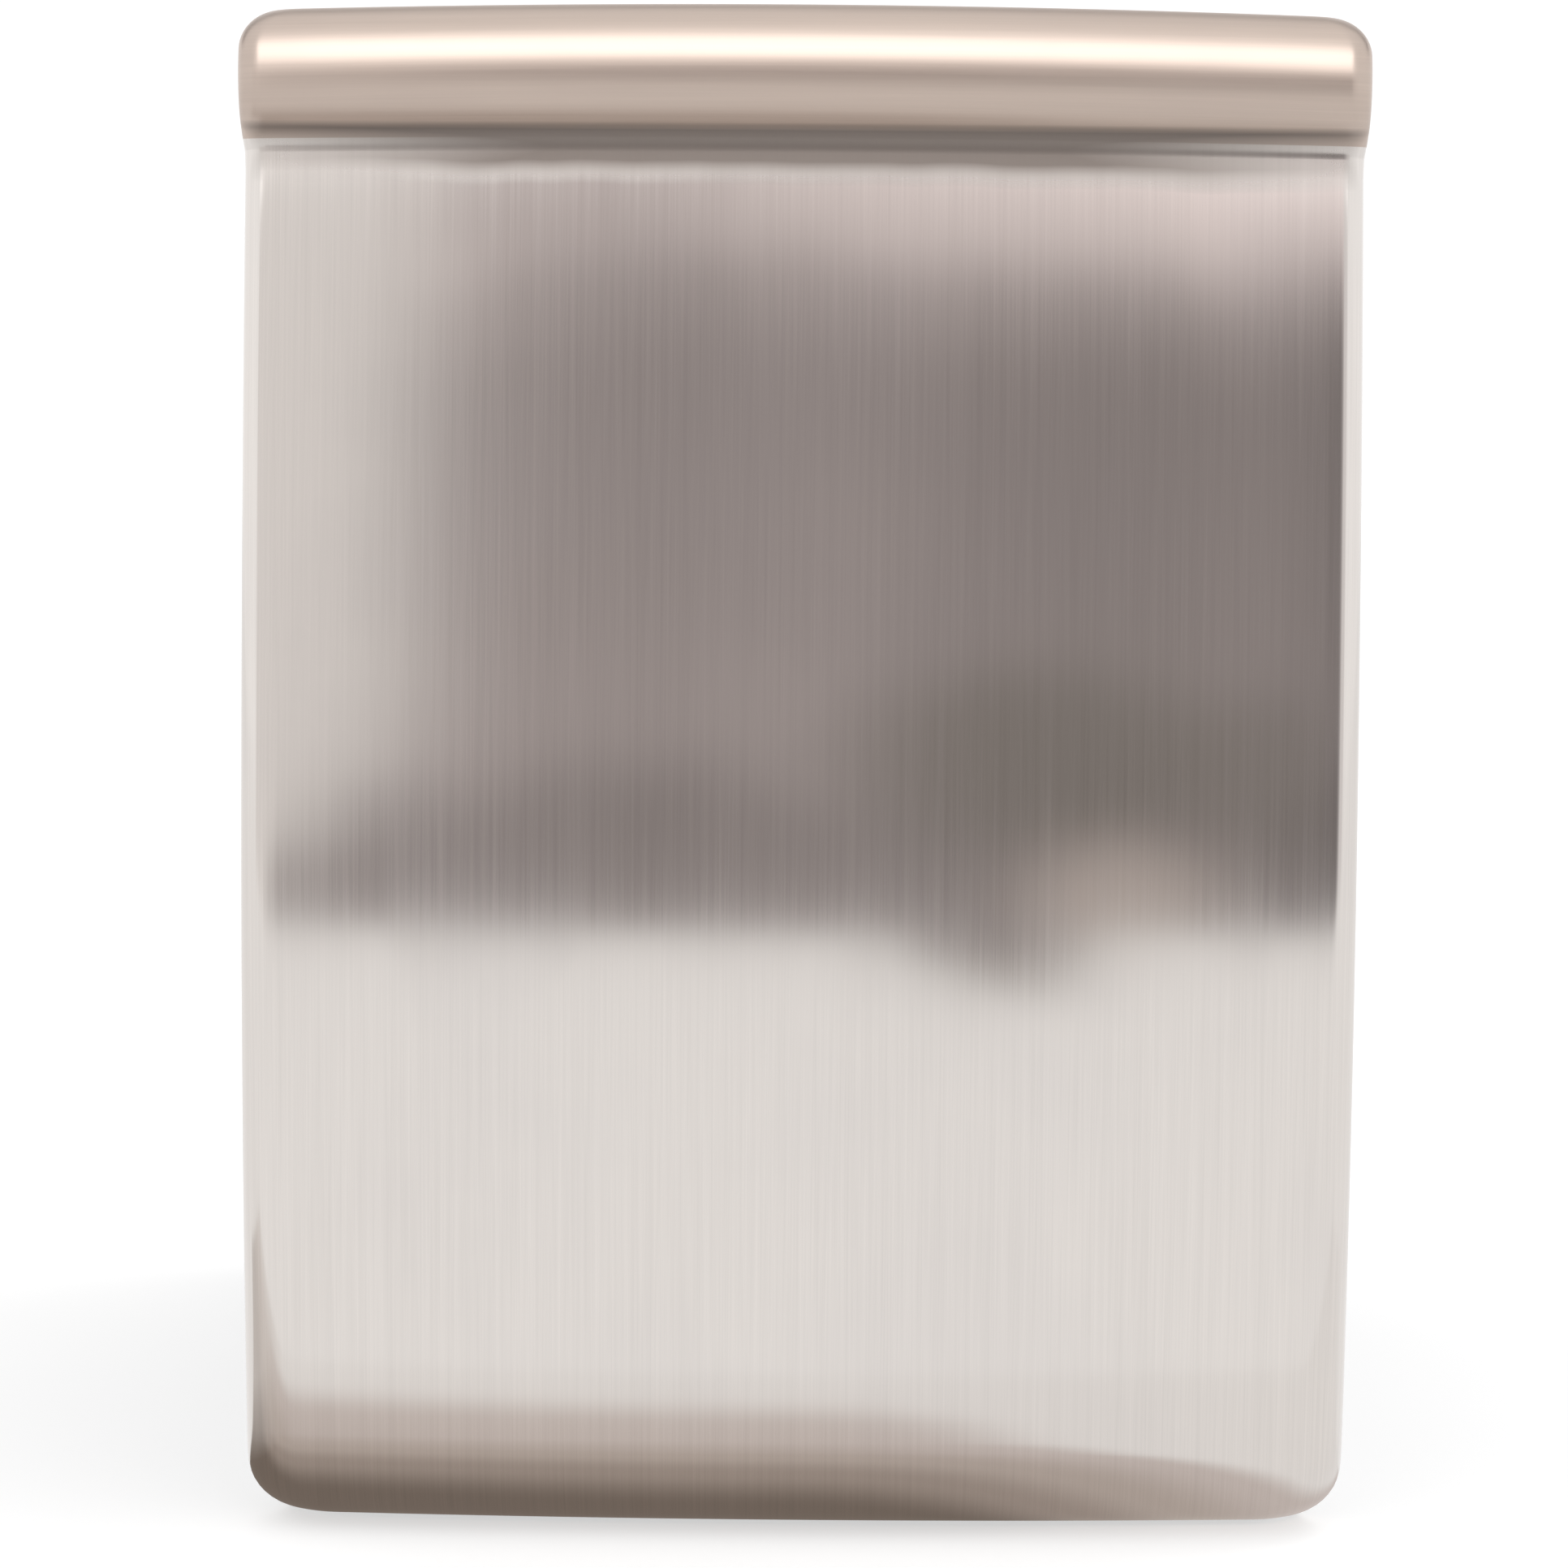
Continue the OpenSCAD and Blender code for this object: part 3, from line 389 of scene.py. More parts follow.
def shell_sections():
    """The side view of the front as (y, z, outward direction, on the roll), from the bottom edge to the crest."""
    belly = Vector((FRONT_Y + BELLY_R, BELLY_Z))
    roll = Vector((FRONT_Y + ROLL_BACK + ROLL_R, HEIGHT - ROLL_R))
    way, span = (roll - belly).normalized(), (roll - belly).length
    far, near = BELLY_R + THROAT_R, ROLL_R + THROAT_R
    along = (far * far - near * near + span * span) / (2 * span)
    aside = math.sqrt(far * far - along * along)
    throat = belly + along * way + aside * Vector((-way.y, way.x))
    belly_end = belly + (throat - belly) * BELLY_R / far
    throat_from = math.atan2(belly_end.y - throat.y, belly_end.x - throat.x)
    throat_to = math.atan2(roll.y - throat.y, roll.x - throat.x)

    def belly_at(z):
        return belly.x - math.sqrt(BELLY_R ** 2 - (z - BELLY_Z) ** 2)

    tuck, face, hollow, bulge = SHELL_STEPS
    points = []
    for i in range(tuck):
        a = math.pi / 2 * (1 - i / tuck)
        points.append((belly_at(TUCK_Z) + TUCK_DEPTH * (1 - math.cos(a)),
                       TUCK_Z - (TUCK_Z - FLOOR_GAP) * math.sin(a)))
    for i in range(face):
        z = TUCK_Z + (belly_end.y - TUCK_Z) * i / face
        points.append((belly_at(z), z))
    for i in range(hollow):
        a = throat_from + (throat_to - throat_from) * i / hollow
        points.append((throat.x + THROAT_R * math.cos(a), throat.y + THROAT_R * math.sin(a)))
    for i in range(bulge + 1):
        a = throat_to + math.pi - (throat_to + math.pi / 2) * i / bulge
        points.append((roll.x + ROLL_R * math.cos(a), roll.y + ROLL_R * math.sin(a)))
    sections = []
    for i, p in enumerate(points):
        a, b = Vector(points[max(i - 1, 0)]), Vector(points[min(i + 1, len(points) - 1)])
        t = (b - a).normalized()
        sections.append((p, Vector((-t.y, t.x)), i >= tuck + face + hollow // 2))
    return sections, throat.y


def shell_ring(section, inset, throat_z):
    """One level of the front, from its right edge to its left; inset is how far it lies inside the sheet."""
    (y, z), outward, _ = section
    y, low = y - inset * outward.x, z - inset * outward.y
    w = WIDTH / 2 - LIP_W * (1 - smooth((z - throat_z + 6) / 14)) - inset
    w -= arc_inset(FOOT_CORNER_R, 26 + FLOOR_GAP - z) + arc_inset(CREST_CORNER_R, z - HEIGHT + CREST_CORNER_R)
    r = CORNER_R + 16 * max(1 - z / 300, 0) ** 2 - inset
    lean = math.atan(2 * CROWN * (w - r) / (w * w))
    face_x = w - r + r * math.sin(lean)
    corner_y = y + CROWN * (face_x / w) ** 2 + r * math.cos(lean)
    half = [(w, SHELL_BACK)]
    for k in range(CORNER_STEPS + 1):
        a = (math.pi / 2 - lean) * k / CORNER_STEPS
        half.append((w - r + r * math.cos(a), corner_y - r * math.sin(a)))
    for k in range(1, FACE_STEPS + 1):
        x = face_x * (1 - k / FACE_STEPS)
        half.append((x, y + CROWN * (x / w) ** 2))
    drop = CREST_DROP * smooth((z - 540) / 60)
    flat = half + [(-x, back) for x, back in reversed(half[:-1])]
    return [(x, back, low - drop * (x / w) ** 2) for x, back in flat]


def front_shell():
    sections, throat_z = shell_sections()
    outer = [shell_ring(s, 0.0, throat_z) for s in sections]
    inner = [shell_ring(s, SHEET, throat_z) for s in sections]
    rings, n = len(outer), len(outer[0])
    half, top = rings * n, (rings - 1) * n
    faces = []
    for i in range(rings - 1):
        for j in range(n - 1):
            a = i * n + j
            faces.append([a, a + n, a + n + 1, a + 1])
            faces.append([half + a, half + a + 1, half + a + n + 1, half + a + n])
    for j in range((n - 1) // 2):
        a, b = top + j, top + n - 1 - j
        strip = [a, b, b - 1, a + 1] if b - 1 > a + 1 else [a, b, a + 1]
        faces += [strip, [half + k for k in reversed(strip)]]
    faces += [[j, j + 1, half + j + 1, half + j] for j in range(n - 1)]
    for i in range(rings - 1):
        a, b = i * n, i * n + n - 1
        faces += [[a, half + a, half + a + n, a + n], [b, b + n, half + b + n, half + b]]
    a, b = top, top + n - 1
    faces.append([a, half + a, half + b, b])
    piece = Piece()
    piece.add([p for skin in (outer, inner) for ring in skin for p in ring], faces)
    obj = piece.make("front_shell_sheet", "drawer", "stainless", "front_shell", crease=40)
    mesh = obj.data
    mesh.materials.append(SHADED_ROLL_STEEL)
    climb, level = [0.0], []
    for before, after in zip(sections, sections[1:]):
        climb.append(climb[-1] + math.dist(before[0], after[0]))
    for ring in outer:
        run = [0.0]
        for p, q in zip(ring, ring[1:]):
            run.append(run[-1] + math.dist(p, q))
        level.append([s - run[-1] / 2 for s in run])
    brush = mesh.uv_layers.new(name="brush")
    for face in mesh.polygons:
        spots = [(v % half // n, v % half % n) for v in face.vertices]
        on_roll = all(sections[i][2] for i, _ in spots)
        face.material_index = 1 if on_roll else 0
        for corner, (i, j) in zip(face.loop_indices, spots):
            u, v = level[i][j] * MM, climb[i] * MM
            brush.data[corner].uv = (v, u) if on_roll else (u, v)
    return obj


front_shell()


# ---------- CAD nodes that keep their shape ----------

for slot, edge, nodes in (
        ("cabinet_paint", 0.3, "top_panel"), ("cabinet_paint", 0.35, "filter_door"),
        ("zinc_steel", 0.3, "rear_panel slide_outers slide_mids slide_inners"),
        ("zinc_steel", 0.4, "handle_stiffener drawer_chassis"), ("zinc_steel", 0.5, "base_frame"),
        ("zinc_steel", 0.6, "uprights crosshead motor_bracket"), ("zinc_steel", 0.8, "ram_crossbar"),
        ("white_enamel", 0.3, "inner_liners"), ("white_enamel", 0.35, "front_bezel rear_bulkhead front_liner"),
        ("white_enamel", 0.8, "ram_plate"), ("machined_steel", 0.2, "drive_pinion"),
        ("machined_steel", 0.3, "motor_rotor filter_door_pin roller_axles"),
        ("machined_steel", 0.4, "jackshaft drive_sprocket screw_sprocket_left screw_sprocket_right cabinet_screws"),
        ("bronze", 0.4, "bearing_bushes"), ("bronze", 0.7, "power_nuts"), ("natural_nylon", 0.2, "drive_gear"),
        ("natural_nylon", 1.0, "ram_guides"), ("panel_plastic", 0.7, "control_panel"),
        ("black_plastic", 0.6, "fan_frame"), ("grey_plastic", 0.6, "filter_housing")):
    for node in nodes.split():
        dress(node, slot, edge)


# ---------- cabinet pieces ----------

def side_panel(name, place):
    """A panel with a raised field, pressed out of sheet."""
    piece = Piece()
    piece.place = place @ Matrix(((0, 0, 1, PANEL_IN), (1, 0, 0, 31), (0, 1, 0, 317.5), (0, 0, 0, 1)))
    steps = ((39, 26, 1.4), (37.5, 26, 1.1), (35.5, 26, 0.3), (34, 26, 0), (0.3, 0, 0), (0, 0, 0.3), (0, 0, 0.9),
             (0.3, 0, 1.2), (34, 26, 1.2), (35.5, 26, 1.5), (37.5, 26, 2.3), (39, 26, 2.6))
    piece.loft([rounded(545.6 - 2 * inset, 591 - 2 * inset - 2 * lift, 56 - inset if lift else 1.5, z, 7)
                for inset, lift, z in steps])
    piece.make(name + "_pressing", "cabinet", "cabinet_paint", name, crease=50)


def top_hems():
    """The folded edges of the top panel, over the top of each side panel."""
    fold = ((219.3, 601), (220.1, 601), (220.3, 601.3), (220.3, 613.3), (220.0, 614.0), (219.3, 614.2),
            (219.2, 614.1), (219.2, 613.4), (219.3, 613.2))
    piece = Piece()
    for place in (Matrix.Identity(4), MIRROR):
        piece.place = place
        piece.loft([[(x, y, z) for x, z in fold] for y in (-241, 304.5)])
    piece.make("top_panel_hems", "cabinet", "cabinet_paint", crease=25)


def louvre(piece, middle, half, z):
    """A hood pressed inward over one slot of the rear panel."""
    section = ((0, 6.2), (1.2, 6.0), (2.6, 4.6), (3.4, 2.2), (3.7, 0.3), (2.9, 0.3), (2.6, 2.0), (1.8, 3.8),
               (0.8, 4.9), (0, 5.2))
    rings = []
    for k in range(13):
        t = -1 + k / 6
        depth = max(1 - abs(t) ** 6, 0.03)
        rings.append([(middle + half * t, 303.8 - inward * depth, z + up) for inward, up in section])
    piece.loft(rings)


def rear_louvres():
    piece = Piece()
    for z in range(470, 583, 14):
        louvre(piece, -48, 37.5, z)
        louvre(piece, 48, 37.5, z)
    for z in range(110, 181, 14):
        louvre(piece, -56, 39.5, z)
    piece.make("rear_louvres", "cabinet", "zinc_steel", crease=50)


for side, place in (("side_panel_right", Matrix.Identity(4)), ("side_panel_left", MIRROR)):
    side_panel(side, place)
top_hems()
rear_louvres()


# ---------- motor, capacitor, switches and wires ----------

def motor_housing():
    piece = Piece().at(PINION_X, SHAFT_Y, MOTOR_Z)
    piece.lathe(((27, 108), (29, 107.6), (30, 104), (43, 104), (44.5, 102.5), (44.5, 1.5), (43, 0), (4.05, 0),
                 (4.05, 6), (42, 6), (42, 22), (29.5, 22), (29.5, 82), (42, 82), (42, 98), (4.05, 98),
                 (4.05, 106)), 64)
    for k in range(40):
        if not 69 < 9 * k < 111:
            piece.at(PINION_X, SHAFT_Y, MOTOR_Z, spin=9 * k).block((44.2, -0.9, 11), (46, 0.9, 93), 0.5)
    for k in range(4):
        piece.at(PINION_X, SHAFT_Y, MOTOR_Z, spin=45 + 90 * k).mark = 1
        piece.loft([[(37 + x, y, z) for x, y, z in circle(r, level, 6)]
                    for r, level in ((3.5, 103.9), (3.5, 106.2), (3.0, 106.8))])
    piece.at(PINION_X, SHAFT_Y, MOTOR_Z).mark = 0
    for low, high in (((-14.3, 42, 30.7), (14.3, 51.4, 69.3)), ((-15, 51.8, 30), (15, 54, 70))):
        piece.block(low, high, 0.9)
    piece.block((-13.8, 51, 31.2), (13.8, 52.2, 68.8), 0.2)
    piece.make("motor_casting", "cabinet", "motor_metal", "motor_housing", more=("machined_steel",))


def start_capacitor():
    piece = Piece().at(120, 262, TRAY_LOW + 2)
    piece.lathe(((16.8, 0), (18, 1.2), (18, 74.5), (17.5, 76.2), (16.2, 76.8), (15.9, 77), (15.6, 79.4),
                 (15, 80)), 48)
    piece.mark = 1
    piece.lathe(((18.1, 1.5), (18.1, 9.0), (18.5, 9.4), (19.3, 9.4), (19.3, 1.1), (18.5, 1.1)), 48, wrap=True)
    piece.block((-4, -21, 1), (4, -18.4, 9.5), 0.5)
    for x in (-6, 6):
        piece.block((x - 1, -3, 79.8), (x + 1, 3, 88), 0.3)
    piece.make("capacitor_can", "cabinet", "motor_metal", "start_capacitor", more=("machined_steel",))


def microswitches():
    piece = Piece()
    piece.block((120, -5, 574.5), (150, 6, 587), 0.8)
    piece.block((131, -2.5, 586.8), (134, 3.5, 588.6), 0.5)
    piece.block((97.6, 174.5, 252.6), (126.4, 185.2, 277.4), 0.8)
    piece.at(112, 170.5, 265, "Y").lathe(((1.9, 0), (2.4, 0.3), (2.5, 0.8), (2.5, 4.2)), 24)
    piece.at().mark = 1
    piece.block((122, -1.5, 588.4), (149, 2.5, 589), 0.15)
    for x in (123, 134, 145):
        piece.block((x - 0.4, -2.5, 572), (x + 0.4, 3.5, 574.7), 0.2)
        piece.block((x - 22 - 0.4, 185, 262), (x - 22 + 0.4, 187, 268), 0.2)
    for x in (126.5, 143.5):
        piece.at(x, 4.4, 580.7, "Y").lathe(((2.2, 0), (2.2, 1.3), (1.8, 1.6)), 20)
    for x, z in ((102, 258), (122, 258), (102, 272), (122, 272)):
        piece.at(x, 184, z, "Y").lathe(((2.0, 0), (2.0, 1.9), (1.6, 2.2)), 20)
    piece.make("switch_bodies", "cabinet", "black_plastic", "microswitches", more=("machined_steel",))


def cord_gland():
    piece = Piece().at(150, 289.8, 60, "Y")
    piece.lathe(((4.1, 0), (6.5, 0), (8.6, 0.9), (9.8, 2.4), (9.8, 8.2), (10.7, 8.6), (11, 9), (11, 11.6),
                 (10.7, 12), (7.9, 12), (7.9, 14.3), (7.3, 15), (4.4, 15), (4.1, 14.6)), 48, wrap=True)
    for k in range(12):
        piece.at(150, 289.8, 60, "Y", spin=30 * k).block((9.4, -0.7, 2.8), (10.5, 0.7, 8.3), 0.3)
    piece.make("gland_nut", "cabinet", "black_plastic", "cord_gland")


def rounded_path(corners, r, step):
    """The corners joined by straight runs and bends of radius r, as points about step apart."""
    points, start = [], Vector(corners[0])
    for before, corner, after in zip(corners, corners[1:], corners[2:]):
        corner = Vector(corner)
        into, out = (corner - Vector(before)).normalized(), (Vector(after) - corner).normalized()
        bend_from = corner - r * into
        count = max(round((bend_from - start).length / step), 1)
        points += [start.lerp(bend_from, k / count) for k in range(count)]
        middle = bend_from + r * out
        points += [middle + r * (math.sin(a) * into - math.cos(a) * out)
                   for a in (math.pi / 2 * k / 6 for k in range(6))]
        start = corner + r * out
    end = Vector(corners[-1])
    count = max(round((end - start).length / step), 1)
    return points + [start.lerp(end, k / count) for k in range(count + 1)]


def wiring_harness():
    """Five twisted wires with ties, from the control board to the motor."""
    run_z, run_x, run_y = CABINET_TOP - 5, -206, 290
    path = rounded_path([(-105, CONTROLS_Y, run_z), (run_x, CONTROLS_Y, run_z), (run_x, run_y, run_z),
                         (run_x, run_y, 140), (PINION_X, run_y, 140), (PINION_X, 282.4, 140)], 6, 5)
    runs = [0.0]
    for before, after in zip(path, path[1:]):
        runs.append(runs[-1] + (after - before).length)
    piece = Piece()
    for strand in range(5):
        piece.mark = strand % 4
        turns = [2 * math.pi * (strand / 5 + run / 55) for run in runs]
        piece.sweep([p + 1.45 * (math.cos(a) * up + math.sin(a) * side)
                     for a, (p, up, side) in zip(turns, frames(path))], 0.88, 7)
    piece.mark = 0
    for i in range(9, len(path) - 3, 19):
        along = (path[i + 1] - path[i]).normalized()
        piece.sweep([path[i] - along, path[i] + along], 2.48, 14)
    piece.make("wire_bundle", "cabinet", "black_plastic", "wiring_harness",
               more=("red_button", "natural_nylon", "grey_plastic"))


motor_housing()
start_capacitor()
microswitches()
cord_gland()
wiring_harness()


# ---------- controls ----------

def control_board():
    piece = Piece().at(0, CONTROLS_Y, 0)
    piece.slab(208, 34, 1.5, 584, 585.6, 0.2)
    piece.mark = 1
    piece.loft([rounded(w, l, r, z) for w, l, r, z in (
        (209, 35, 1.5, 579), (210, 36, 2, 579.5), (210, 36, 2, 587.6), (209.4, 35.4, 1.7, 588),
        (207.6, 33.6, 0.8, 588), (207, 33, 0.5, 587.6), (207, 33, 0.5, 580.6))])
    for x, r, bore in ((START_X, 6, 3.05), (STOP_X, 6, 3.05), (KEY_X, 8, 4.05)):
        profile = ((r, 585.4), (r, 602.2), (r - 0.5, 603), (bore, 603), (bore, 591))
        piece.at(x, CONTROLS_Y, 0).lathe(profile, 32)
    piece.at(0, CONTROLS_Y, 0)
    for low, high in (((-97, -13, 585.5), (-80, 3, 602)), ((55, -14, 585.5), (76, -2, 601)),
                      ((92, -12, 585.5), (102, 12, 597)), ((-8, 4, 585.5), (14, 13, 596))):
        piece.block(low, high, 0.7)
    piece.mark = 2
    for x, y, r, top in ((-42, 8, 4, 600), (0, -8, 5, 603), (12, -8, 3, 597), (60, 7, 6, 603.5), (-72, 9, 3, 596)):
        piece.at(x, CONTROLS_Y + y, 0).lathe(((r - 0.3, 585.5), (r, 585.9), (r, top - 0.6), (r - 0.5, top)), 28)
    piece.at(0, CONTROLS_Y, 0)
    for k in range(6):
        piece.block((-50 + 4 * k, -12, 585.5), (-48 + 4 * k, -8, 586.6), 0.2)
        piece.block((20 + 3 * k, 10, 585.5), (21.4 + 3 * k, 13, 586.4), 0.2)
    piece.make("control_electronics", "cabinet", "circuit_board", "control_board",
               more=("black_plastic", "motor_metal"))


def push_button(name, x, slot):
    piece = Piece().at(x, CONTROLS_Y, CABINET_TOP)
    piece.lathe(((2.6, -18), (3, -17.6), (3, -1), (7.6, -1), (8, -0.6), (8, 6.1), (7.7, 6.7), (7.1, 7), (6.4, 6.9),
                 (5, 6.45), (2.6, 6.1), (0.7, 6.0)), 48)
    piece.make(name + "_cap", name, slot, name + "_button", crease=40)


def key_knob():
    piece = Piece().at(KEY_X, CONTROLS_Y, CABINET_TOP)
    piece.lathe(((3.5, -18), (4, -17.5), (4, 4.6), (10.4, 4.6), (11, 5.1), (11, 6.9), (10.3, 7.6), (3, 7.8)), 56)
    piece.slab(20, 5, 2.4, 7.4, 11.75, 0.8, 6)
    piece.mark = 1
    piece.block((2.5, -0.55, 11.4), (9, 0.55, 12), 0.2)
    for k in range(24):
        piece.at(KEY_X, CONTROLS_Y, CABINET_TOP, spin=15 * k).mark = 0
        piece.block((10.5, -0.5, 5.3), (10.98, 0.5, 6.7), 0.2)
    piece.make("key_handle", "key", "black_plastic", "key_knob", more=("white_enamel",))


def indicator_lens():
    piece = Piece().at(LENS_X, CONTROLS_Y, CABINET_TOP)
    piece.lathe(((3.5, -2), (4, -1.5), (4, 4.2), (4.8, 4.2), (5, 4.4), (4.9, 4.8), (4.2, 5.2), (2.8, 5.42),
                 (1.2, 5.5)), 40)
    piece.make("lens_dome", "cabinet", "amber_lens", "indicator_lens", crease=50)


def control_rings():
    piece = Piece()
    for x, inner, outer in ((START_X, 8.5, 10.4), (STOP_X, 8.5, 10.4), (KEY_X, 11.4, 13.2), (LENS_X, 5.3, 6.8)):
        profile = ((inner, 0), (inner, 0.6), (inner + 0.3, 0.8), (outer - 0.5, 0.8), (outer, 0.2), (outer, 0))
        piece.at(x, CONTROLS_Y, CABINET_TOP + 4.2).lathe(profile, 48, wrap=True)
    piece.make("control_rings", "cabinet", "machined_steel")


control_board()
push_button("start", START_X, "green_button")
push_button("stop", STOP_X, "red_button")
key_knob()
indicator_lens()
control_rings()


# ---------- fan and filter ----------

def fan_rotor():
    piece = Piece().at(0, FAN_Y, FAN_Z)
    piece.lathe(((17.6, 5), (19, 6), (19, 17.4), (18.2, 18.6), (16.8, 19), (6, 19), (5.6, 18.5), (1.5, 18.5)), 48)
    section = ((-1, 0), (-0.55, 0.11), (0, 0.13), (0.55, 0.09), (1, 0), (0.55, -0.01), (0, 0.02), (-0.55, 0.01))
    for blade in range(7):
        piece.at(0, FAN_Y, FAN_Z, spin=blade * 360 / 7)
        rings = []
        for k in range(7):
            t = k / 6
            chord, angle = 7.2 + 1.6 * t, math.radians(44 - 12 * t)
            rings.append([(18 + 28 * t, chord * (u * math.cos(angle) - v * math.sin(angle)),
                           12 + chord * (u * math.sin(angle) + v * math.cos(angle))) for u, v in section])
        piece.loft(rings)
    piece.make("fan_impeller", "fan", "black_plastic", "fan_rotor", crease=40)


def filter_cartridge():
    """A moulded frame around a folded carbon sheet, with a pull tab."""
    piece = Piece().at(0, FAN_Y, 519.5)
    folds = [(-61.2 + 3.06 * k, 63 if k % 2 else 9) for k in range(41)]
    outline = folds + [(x, z - 4) for x, z in reversed(folds)]
    piece.loft([[(x, y, z) for x, z in outline] for y in (-33.2, 33.2)])
    piece.mark = 1
    piece.border(122, 66, 2, ((0, 1), (0.5, 0), (3.6, 0), (4, 0.4), (4, 65.4), (3.5, 66), (0.4, 66), (0, 65.5)))
    piece.block((-61.2, -1.3, 60), (61.2, 1.3, 65.6), 0.4)
    piece.slab(30, 4, 1.9, 65, 78, 0.6)
    piece.make("filter_insert", "cabinet", "carbon_filter", "filter_cartridge", more=("grey_plastic",), crease=20)


def door_ribs():
    piece = Piece()
    for k in range(7):
        piece.slab(104 if k else 84, 3.2, 1.5, 617.35, 618.3, 0.5, 5, 0, 203 + 10 * k)
    piece.make("filter_door_ribs", "filter_lid", "cabinet_paint")


fan_rotor()
filter_cartridge()
door_ribs()


# ---------- drawer and ram pieces ----------

def front_gasket():
    piece = Piece().at(0, -243.5, 235, "-Y")
    piece.border(390, 340, 16, ((-5, 3.5), (-5, 2.7), (-4.3, 2.3), (-3.4, 2.1), (-2.5, 1.0), (-1.3, 0.2), (0, 0),
                                (1.3, 0.2), (2.5, 1.0), (3.4, 2.1), (4.3, 2.3), (5, 2.7), (5, 3.5)), 8)
    piece.make("gasket_seal", "drawer", "rubber", "front_gasket", crease=40)


def bin_ring(z, out, inset=0.0):
    """One level of the bin: out is how far it stands out of the tapered wall."""
    taper = 4 * (1 - (z - BIN_FLOOR) / BIN_H) if out < 2 else 0.0
    grow = out - taper - inset
    return rounded(BIN_W + 2 * grow, BIN_L + 2 * grow, 18 + grow, z, 7, 0, BIN_MID)


def bin_moulding():
    """A tapered bin with two beads, a rolled rim and a stepped floor."""
    beads = [(BIN_FLOOR + z, out) for low in (90, 196) for z, out in (
        (low, 0), (low + 2, 0.7), (low + 4, 1.1), (low + 8, 1.1), (low + 10, 0.7), (low + 12, 0))]
    outer = [(BIN_FLOOR, -3), (BIN_FLOOR + 1, -1.1), (BIN_FLOOR + 4, 0)] + beads + [(356, 0)]
    piece = Piece()
    rings = [bin_ring(z, out) for z, out in outer]
    rings += [bin_ring(z, out) for z, out in ((357.2, 2), (359.5, 2), (360, 2))]
    rings += [bin_ring(360, -1.4), bin_ring(359.5, -2)]
    rings += [bin_ring(z, out, 2) for z, out in reversed(beads)]
    rings += [bin_ring(BIN_FLOOR + 5, 0, 2), bin_ring(BIN_FLOOR + 2.6, -1, 2), bin_ring(BIN_FLOOR + 2, -3, 2)]
    piece.loft(rings)
    for x in range(-90, 91, 45):
        piece.slab(5, 300, 2.4, BIN_FLOOR + 1.5, BIN_FLOOR + 3.4, 0.8, 5, x, BIN_MID)
    piece.make("bin_moulding", "drawer", "grey_plastic", "bin", crease=40)


def bag_retainer():
    piece = Piece().at(0, BIN_MID, 360)
    piece.border(304, 392, 20, ((-0.3, 0.05), (0, 0.4), (0, 4.2), (-0.5, 4.9), (-1.2, 5), (-2.6, 5), (-3.3, 4.6),
                                (-3.5, 4.0), (-3.5, 0.05)), 8)
    for x, y, w, l in ((0, 194.1, 40, 3), (0, -194.1, 40, 3), (150.1, 0, 3, 40), (-150.1, 0, 3, 40)):
        piece.slab(w, l, 0.8, 4.2, 5, 0.2, 4, x, y)
    piece.make("bag_hoop", "drawer", "natural_nylon", "bag_retainer", crease=40)


def ram_skirt():
    """A thin sheet sleeve with three pressed beads."""
    bead = ((0, -4), (-0.7, -2.5), (-1.2, -1), (-1.2, 1), (-0.7, 2.5), (0, 4))
    wall = [(0, 391)] + [(out, z + up) for z in (430, 470, 510) for out, up in bead] + [(0, 552)]
    piece = Piece().at(0, SCREW_Y + 5, 0)
    piece.border(240, 230, 12, wall + [(out - 1.5, z) for out, z in reversed(wall)], 7)
    piece.make("ram_sleeve", "ram", "white_enamel", "ram_skirt", crease=40)


front_gasket()
bin_moulding()
bag_retainer()
ram_skirt()


# ---------- screws, chain, rollers and feet ----------

def threaded(low, high, root, crest, pitch, starts, step, sides):
    """Rings of a right-hand thread: the helix climbs as it turns counter-clockwise."""
    rings = []
    count = round((high - low) / step)
    for i in range(count + 1):
        z = low + (high - low) * i / count
        fade = smooth(min(z - low, high - z) / pitch)
        ring = []
        for k in range(sides):
            a = 2 * math.pi * k / sides
            phase = (z / pitch - starts * k / sides) % 1.0
            flank = smooth((0.5 - abs(phase - 0.5)) * 4 - 0.45)
            r = root + (crest - root) * flank * fade
            ring.append((r * math.cos(a), r * math.sin(a), z))
        rings.append(ring)
    return rings


def power_screw(side, x):
    piece = Piece().at(x, SCREW_Y, 0)
    lower = [circle(r, z, 28) for r, z in ((7.2, 24.5), (8, 25.3), (8, 69.5), (7.6, 70), (6.9, 71.5), (6.9, 338))]
    upper = [circle(r, z, 28) for r, z in ((7.6, 586.8), (8, 587.3), (8, 597.2), (7.2, 598))]
    piece.loft(lower + threaded(340, 586, 6.9, SCREW_R, 5, 2, 0.6, 28) + upper)
    piece.make(f"lead_screw_{side}", f"{side}_screw", "machined_steel", f"power_screw_{side}", crease=50)


